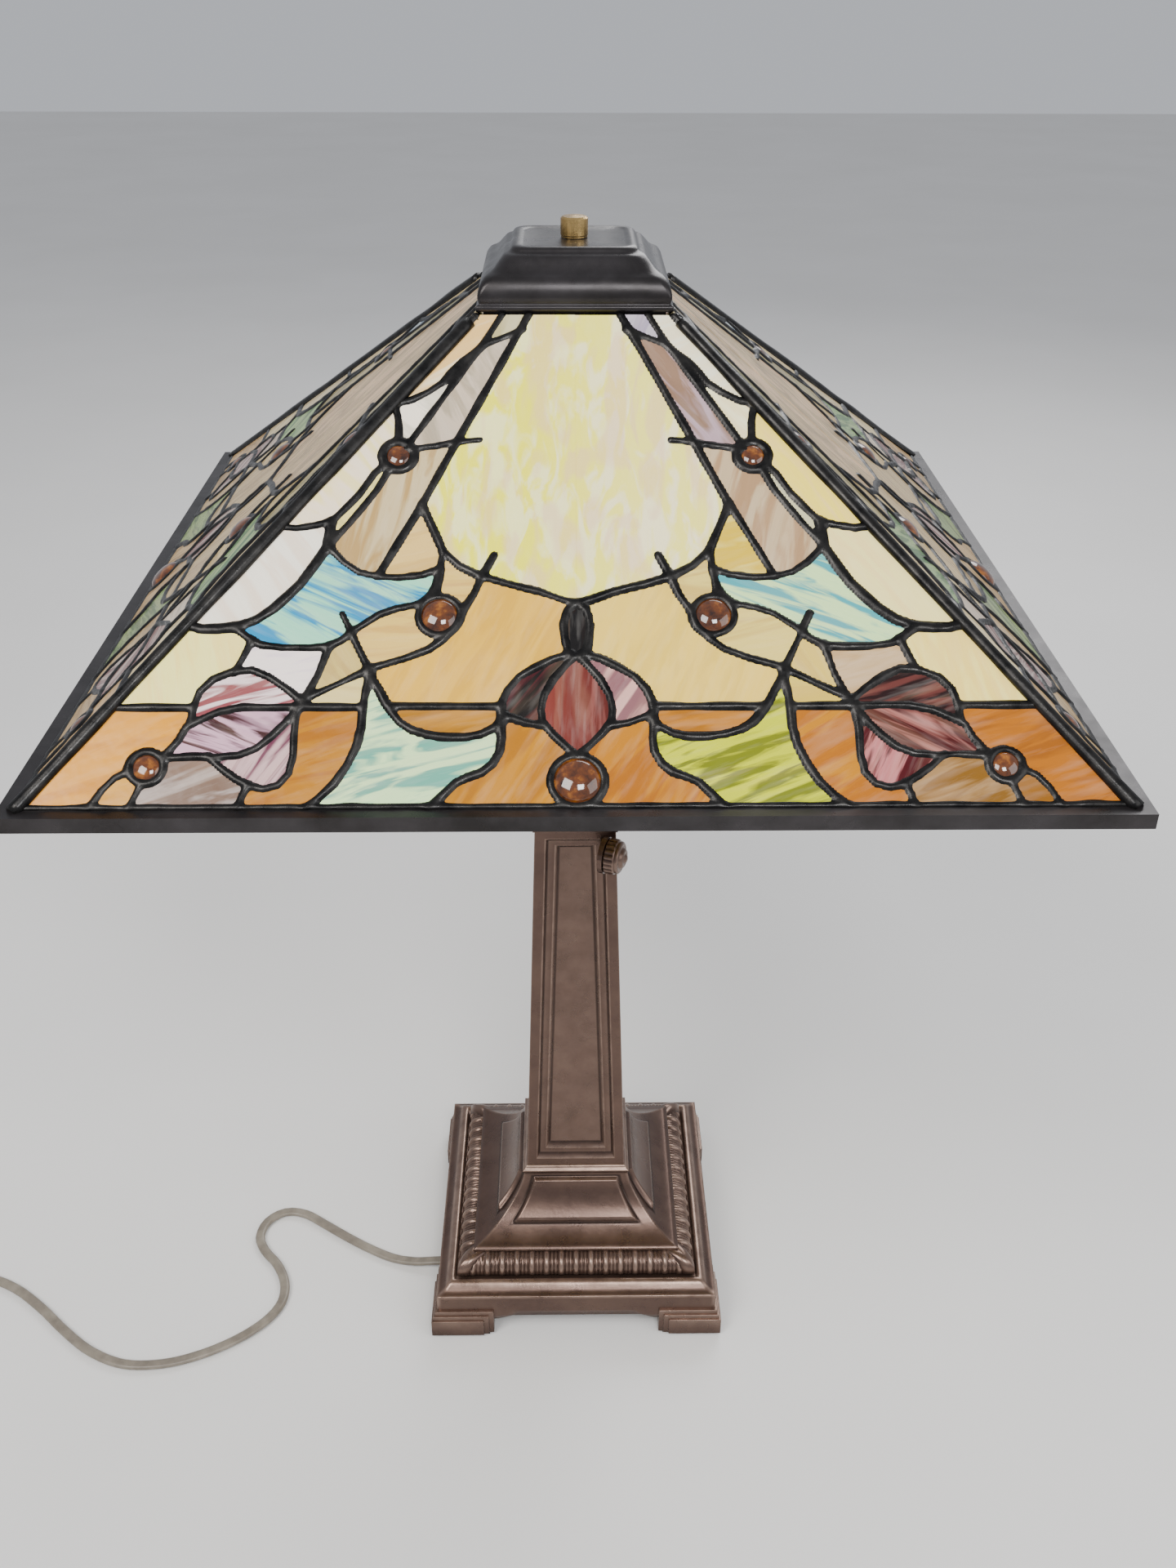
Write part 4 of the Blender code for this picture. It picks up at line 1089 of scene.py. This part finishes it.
def make_hip_beads():
    """Rounded solder beads down the four corners of the shade, over the lead cames."""
    rows = 90
    steps = 10
    length = (GLASS_LENGTH - 2.5) * MM
    half_width = 2.9
    unevenness = 0.3
    for corner, (sx, sy) in CORNERS.items():
        chance = random.Random(corner)
        swell = [chance.uniform(-1.0, 1.0) for _ in range(14)]
        low = Vector((sx * (GLASS_FOOT + 0.5) * MM, sy * (GLASS_FOOT + 0.5) * MM, RIM_TOP - 0.8 * MM))
        lean = Vector((-sx * math.cos(GLASS_SLOPE), -sy * math.cos(GLASS_SLOPE), math.sin(GLASS_SLOPE)))
        forward = lean.normalized()
        across = forward.cross(Vector((0.0, 0.0, 1.0))).normalized()
        lift = across.cross(forward)
        verts = []
        for row in range(rows + 1):
            share = row / rows
            place = share * (len(swell) - 1)
            index = min(int(place), len(swell) - 2)
            uneven = blend(swell[index], swell[index + 1], smoothstep(place - index))
            size = (half_width + unevenness * uneven) * MM
            for step in range(steps):
                angle = 2.0 * math.pi * step / steps
                side = across * math.cos(angle) + lift * (math.sin(angle) * 0.9)
                verts.append(low + lean * length * share + side * size)
        faces = [tuple(range(steps)), tuple(range(len(verts) - steps, len(verts)))[::-1]]
        faces += ring_faces(rows + 1, steps, flip=True)
        bead = add_mesh(f"hip_bead_{corner}", verts, faces, "solder_patina", "shade")
        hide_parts(f"hip_came_{corner}")


# ---------------------------------------------------------------- base and column


def arc(centre, radius_x, radius_z, start, end, count):
    """Points on an elliptical arc in the profile plane, angles in degrees from +X towards +Z."""
    points = []
    for step in range(count + 1):
        angle = math.radians(start + (end - start) * step / count)
        points.append((centre[0] + radius_x * math.cos(angle), centre[1] + radius_z * math.sin(angle)))
    return points


def outward(profile):
    """The outward directions of a profile's points, each square to the line through its neighbours."""
    normals = []
    for index in range(len(profile)):
        before = profile[max(index - 1, 0)]
        after = profile[min(index + 1, len(profile) - 1)]
        run = Vector((after[0] - before[0], after[1] - before[1])).normalized()
        normals.append((-run.y, run.x))
    return normals


def carved_wall(name, outside, inside, pieces, relief):
    """A square casting whose four outer faces carry a relief, cut into so many pieces along each side.

    outside and inside are (half width, z) points from top to bottom, in millimetres. relief(along, half,
    down) gives how far a place is raised, and its mark, from its distance along the side from the middle,
    the side's half width there and the share of the outside points above it. A mark above 0 is rubbed
    wear and painted highlight, one below 0 painted shade.
    """
    corner_reach = 1.2
    normals = outward(outside)
    verts = []
    marks = []
    for side in range(4):
        turn = side_turn(side) * MM
        for step in range(pieces + 1):
            share = -1.0 + 2.0 * step / pieces
            for row, (half, z) in enumerate(outside):
                push, wear_and_painted_light = relief(abs(share) * half, half, row / (len(outside) - 1))
                ease = min(1.0, (1.0 - abs(share)) * half / corner_reach)
                out, up = normals[row]
                spread = push * (1.0 - ease) * out * (1.0 if share > 0 else -1.0)
                verts.append(turn @ Vector((share * half + spread, -half - push * out, z + push * up)))
                marks.append(wear_and_painted_light)
            for half, z in reversed(inside):
                verts.append(turn @ Vector((share * half, -half, z)))
                marks.append(0.0)
    faces = ring_faces(4 * (pieces + 1), len(outside) + len(inside), closed=True)
    wall = add_mesh(name, verts, faces, "bronze_casting", "base")
    weld(wall, marks)
    return wall


def make_skirt():
    """The flared casting, with a raised panel on each face and a collar round its neck."""
    neck, neck_z = 29.4, 75.0
    lip, lip_z = 57.4, 44.3
    collar = [(27.9, 79.0), (28.3, 78.1), (29.0, 77.3), (29.9, 76.8), (30.1, 76.4), (29.9, 75.9)]
    outside = list(collar)
    count = 44
    for step in range(count + 1):
        drop = (step / count) ** 0.85
        spread = 1.0 - (1.0 - drop**1.7) ** 0.7
        outside.append((neck + (lip - neck) * spread, neck_z + (lip_z - neck_z) * drop))
    outside += [(57.5, 43.9), (57.4, 42.4)]
    inside = [(23.0, 79.0), (23.0, 74.0), (26.0, 71.0), (28.0, 60.0)]
    inside += [(40.0, 48.0), (54.0, 43.6), (55.0, 42.4)]

    panel_raise = 2.6
    panel_top = 0.055
    panel_low = 0.755
    slope = 40.0

    def relief(along, half, down):
        """A raised panel that follows the flare, with a painted highlight along its edge and painted shade round
        it.
        """
        drop = (down * (len(outside) - 1) - len(collar)) / count
        # Off the flare, on the collar and the lip, points are marked lighter: rubbed wear and painted highlight.
        if not 0.0 <= drop <= 1.0:
            return 0.0, 0.7
        side_gap = half * 0.80 + 0.8 - along
        gap = min(side_gap, (drop - panel_top) * slope, (panel_low - drop) * slope)
        raised = panel_raise * smoothstep((gap + 0.2) / 2.2)
        # Marks: a painted highlight along the panel's edge, rubbed wear and painted highlight at the corners,
        # painted shade in a band just outside the panel.
        edge = 0.25 * smoothstep((gap - 0.6) / 1.2) * (1.0 - smoothstep((gap - 1.6) / 1.6))
        painted_groove_shade = smoothstep((gap + 1.4) / 0.9) * (1.0 - smoothstep((gap - 0.1) / 0.9))
        corner = 1.0 - smoothstep((half - along) / 1.5)
        return raised, min(1.0, edge + 0.5 * corner) - 0.8 * painted_groove_shade

    skirt = carved_wall("skirt", outside, inside, 110, relief)
    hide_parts("flared_skirt")


def lobe(phase):
    """The rounded swell of a lobe, from 0 at either end to 1 in its middle."""
    return math.sin(math.pi * phase) ** 0.6


def make_band():
    """The gadrooned band: broad lobes with two thin ribs between each, and plain lobes at the corners."""
    outside = [(52.5, 41.9), (56.6, 41.9)] + arc((57.0, 33.9), 8.6, 8.0, 88, -8, 16) + [(65.0, 32.1)]
    inside = [(52.0, 41.9), (52.0, 32.0)]
    pitch = 8.3
    corner_lobe = 6.5
    rib = 0.6

    def relief(along, half, down):
        """Lobes that swell in the middle of the band's curve and fade at its edges."""
        fade = math.sin(math.pi * min(1.0, max(0.0, 0.06 + 0.92 * down))) ** 0.5
        # The second value marks each lobe's crown lighter, a painted highlight with rubbed wear, and the hollows
        # between lobes darker, painted shade.
        if half - along < corner_lobe:
            swell = lobe(0.25 + 0.75 * (half - along) / corner_lobe)
            return 1.5 * swell * fade, (1.4 * swell - 0.9) * fade
        phase = (along / pitch + 0.25) % 1.0
        if phase < 0.5:
            swell = lobe(phase / 0.5)
        else:
            swell = rib * lobe((phase - 0.5) % 0.25 / 0.25)
        return (2.1 * swell - 1.0) * fade, (1.5 * swell - 0.5) * fade

    band = carved_wall("gadroons", outside, inside, 400, relief)
    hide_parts("gadroon_band")


def make_plinth():
    """The plinth: a bead and a hollow round its top, a plain block and an arched lower edge."""
    outside = [(60.0, 31.7), (66.8, 31.7), (67.4, 31.9), (67.9, 32.7), (68.6, 33.2), (69.6, 33.3)]
    outside += [(70.6, 33.0), (71.5, 32.4), (72.3, 31.6), (73.2, 30.7), (74.2, 29.9), (75.3, 29.3)]
    outside += [(76.3, 29.0), (77.2, 28.8), (77.6, 28.6), (77.7, 28.1), (77.7, 27.0)]
    outside += [(77.7, 22.0), (77.7, 18.0), (77.7, 14.0), (77.5, 11.0), (77.0, 10.7)]
    inside = [(60.0, 28.9), (68.0, 28.7), (74.7, 25.9), (74.7, 10.7)]

    def relief(along, half, down):
        """Nothing is raised, but the corners are marked lighter for rubbed wear and painted highlight, the bead
        and the block's upper edge for painted highlights.
        """
        corner = 1.0 - smoothstep((half - along) / 1.6)
        edge = 0.7 if 0.12 < down < 0.40 or 0.60 < down < 0.75 else 0.0
        return 0.0, min(1.0, corner + edge)

    plinth = carved_wall("plinth_block", outside, inside, 60, relief)
    rise = 3.0 * MM
    reach = 46.0 * MM
    lower_edge = 12.5 * MM
    for vert in plinth.data.vertices:
        near = min(abs(vert.co.x), abs(vert.co.y))
        if vert.co.z < lower_edge and near < reach:
            vert.co.z += rise * (1.0 - smoothstep((near / reach - 0.72) / 0.28))
    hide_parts("plinth")


def block_faces(first):
    """The outward faces of a box whose points run in X, then in Y, then in Z."""
    faces = ((0, 2, 3, 1), (4, 5, 7, 6), (0, 1, 5, 4), (2, 6, 7, 3), (0, 4, 6, 2), (1, 3, 7, 5))
    return [tuple(first + point for point in face) for face in faces]


def make_feet():
    """Corner feet whose outer faces rise in three levels, every level set back at its edges."""
    levels = 3
    step = 1.0 * MM
    margin = 2.8 * MM
    for corner, (sx, sy) in CORNERS.items():
        low, high = (Vector(spot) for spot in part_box(f"foot_{corner}"))
        verts = []
        faces = []
        for level in range(levels):
            near = low.copy()
            far = high.copy()
            far.z -= level * margin
            back = (levels - 1 - level) * step
            for axis, sign in ((0, sx), (1, sy)):
                near[axis] += back if sign < 0 else level * margin
                far[axis] -= level * margin if sign < 0 else back
            faces += block_faces(len(verts))
            verts += [(x, y, z) for z in (near.z, far.z) for y in (near.y, far.y) for x in (near.x, far.x)]
        foot = add_mesh(f"bracket_{corner}", verts, faces, "bronze_casting", "base")
        # Points high on each foot are marked lighter, a painted highlight, and the low ones darker, painted shade.
        store(foot, "wear_and_painted_light", "FLOAT", [0.5 if vert[2] > low.z + 5.0 * MM else -0.35 for vert in verts])
        soften(foot, 0.5 * MM, 3, 30.0)
        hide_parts(f"foot_{corner}")


def make_column():
    """The tapered column with two bevelled recesses on each face, its edges softened as if cast."""
    low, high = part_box("column")
    bottom = low[2]
    top = high[2]
    bottom_half = high[0]
    top_half = 20.3 * MM
    # Each frame on a face: its distance from the sides, the top and the bottom, its depth, and its mark: above 0
    # lighter, rubbed wear and painted highlight on the raised edges; below 0 painted shade in the recesses.
    frames = (
        (0.0, 0.0, 0.0, 0.0, 0.55),
        (0.7, 0.7, 0.7, 0.0, 0.0),
        (5.0, 3.8, 4.1, 0.0, 0.0),
        (5.6, 4.4, 4.7, 0.0, 0.9),
        (6.9, 5.7, 7.6, 1.8, -0.8),
        (7.4, 6.2, 8.1, 1.8, 0.2),
        (10.1, 8.5, 10.3, 1.8, 0.0),
        (10.6, 9.0, 10.8, 1.8, 0.9),
        (12.6, 10.6, 14.0, 3.6, -0.8),
        (13.2, 11.2, 14.7, 3.6, 0.2),
    )
    verts = []
    faces = []
    marks = []
    for side in range(4):
        faces += ring_faces(len(frames), 4, len(verts))
        for inset, drop, rise, depth, wear_and_painted_light in frames:
            lower = bottom + rise * MM
            upper = top - drop * MM
            for sign, height in ((-1, lower), (1, lower), (1, upper), (-1, upper)):
                half = blend(bottom_half, top_half, (height - bottom) / (top - bottom))
                corner = Vector((sign * (half - inset * MM), depth * MM - half, height))
                verts.append(side_turn(side) @ corner)
                marks.append(wear_and_painted_light)
        faces.append(tuple(range(len(verts) - 4, len(verts))))
    stride = 4 * len(frames)
    faces.append(tuple(stride * side for side in reversed(range(4))))
    faces.append(tuple(stride * side + 3 for side in range(4)))
    column = add_mesh("pillar", verts, faces, "bronze_casting", "base")
    weld(column, marks)
    soften(column, 0.45 * MM, 3, 20.0)
    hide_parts("column")


# ---------------------------------------------------------------- knob, cap and finishing


def knob_place():
    """The frame whose Z runs along the knob's axis, from the back of the knob outwards."""
    joint = next(joint for joint in frame["joints"] if joint["name"] == "knob_turn")
    turn = Vector(joint["axis"]).to_track_quat("Z", "Y").to_matrix().to_4x4()
    return Matrix.Translation(joint["pos_m"]) @ turn


def make_knob():
    """The switch knob: a fluted ring, then a cap with raised rings round a button."""
    steps = 60
    flute = 0.75
    flute_radius = 8.55
    profile = [(0.0, 0.0), (6.8, 0.0), (8.6, 0.2), (9.0, 0.7), (9.0, 4.4), (8.7, 4.9), (8.0, 5.1)]
    profile += [(7.9, 5.6), (8.3, 6.0), (8.1, 6.7), (7.2, 7.3), (6.3, 7.4), (5.9, 7.1), (5.3, 7.5)]
    profile += [(5.0, 8.3), (4.2, 8.9), (3.3, 9.0), (2.9, 8.7), (2.3, 9.1), (1.7, 9.8), (0.8, 10.1)]
    profile += [(0.0, 10.1)]
    place = knob_place()
    verts = []
    marks = []
    for radius, z in profile:
        for step in range(steps):
            angle = 2.0 * math.pi * step / steps
            grooved = radius > flute_radius and 0.5 < z < 4.8 and step % 3 == 0
            reach = (radius - flute if grooved else radius) * MM
            # Flute grooves are marked darker, painted shade; the rest lighter, rubbed wear and painted highlight.
            marks.append(-0.8 if grooved else 0.45)
            verts.append(place @ Vector((reach * math.cos(angle), reach * math.sin(angle), z * MM)))
    knob = add_mesh("fluted_knob", verts, ring_faces(len(profile), steps), "bronze_casting", "knob")
    weld(knob, marks)
    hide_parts("switch_knob")


def make_cap():
    """The pressed vent cap: flange, rounded band, hollow slopes with clipped corners, raised plate."""
    # Each level is (half width, height, corner radius), up the outside and then down the inside.
    levels = (
        (39.3, 554.3, 0.5), (39.3, 556.0, 0.5), (38.9, 556.5, 0.6), (38.1, 556.8, 0.8), (38.3, 557.4, 1.0),
        (38.7, 558.8, 1.3), (38.7, 560.2, 1.7), (38.4, 561.8, 2.2), (37.9, 563.4, 2.8), (37.1, 564.9, 3.4),
        (36.1, 566.2, 4.1), (35.0, 567.0, 4.7), (33.7, 567.6, 5.2), (32.2, 568.8, 5.8), (30.6, 570.8, 6.4),
        (29.4, 572.2, 6.8), (28.6, 573.1, 7.0), (28.0, 573.5, 7.0), (27.0, 573.8, 6.8), (26.2, 574.2, 6.6),
        (25.7, 574.9, 6.4), (25.2, 575.6, 6.2), (24.6, 576.0, 6.0), (23.6, 576.2, 5.8), (22.4, 576.1, 5.6),
        (21.4, 575.8, 5.4), (20.6, 575.6, 5.2), (12.0, 575.6, 3.0), (4.4, 575.6, 1.5), (3.9, 575.6, 1.4),
        (3.9, 573.6, 1.4), (20.8, 573.6, 2.3), (22.2, 573.0, 3.0), (25.0, 572.2, 5.6), (27.6, 570.4, 5.8),
        (32.2, 564.6, 4.9), (36.2, 562.6, 3.6), (37.2, 559.4, 1.8), (37.0, 556.6, 0.8), (38.4, 556.0, 0.6),
        (38.4, 554.3, 0.5),
    )
    per_corner = 6
    per_side = 8
    verts = []
    for half, z, radius in levels:
        straight = half - radius
        edge = [(straight * (2.0 * step / per_side - 1.0), -half) for step in range(per_side)]
        for step in range(per_corner):
            angle = math.radians(-90.0 + 90.0 * step / per_corner)
            edge.append((straight + radius * math.cos(angle), radius * math.sin(angle) - straight))
        for side in range(4):
            verts.extend(side_turn(side) @ Vector((x * MM, y * MM, z * MM)) for x, y in edge)
    faces = ring_faces(len(levels), 4 * (per_side + per_corner), closed=True)
    cap = add_mesh("pressed_cap", verts, faces, "dark_patina", "shade")
    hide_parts("vent_cap")


make_camera()
make_studio()
finish_nodes()
make_cord()
make_glass()
make_leading()
make_jewels()
make_hip_beads()
make_skirt()
make_band()
make_plinth()
make_feet()
make_column()
make_knob()
make_cap()
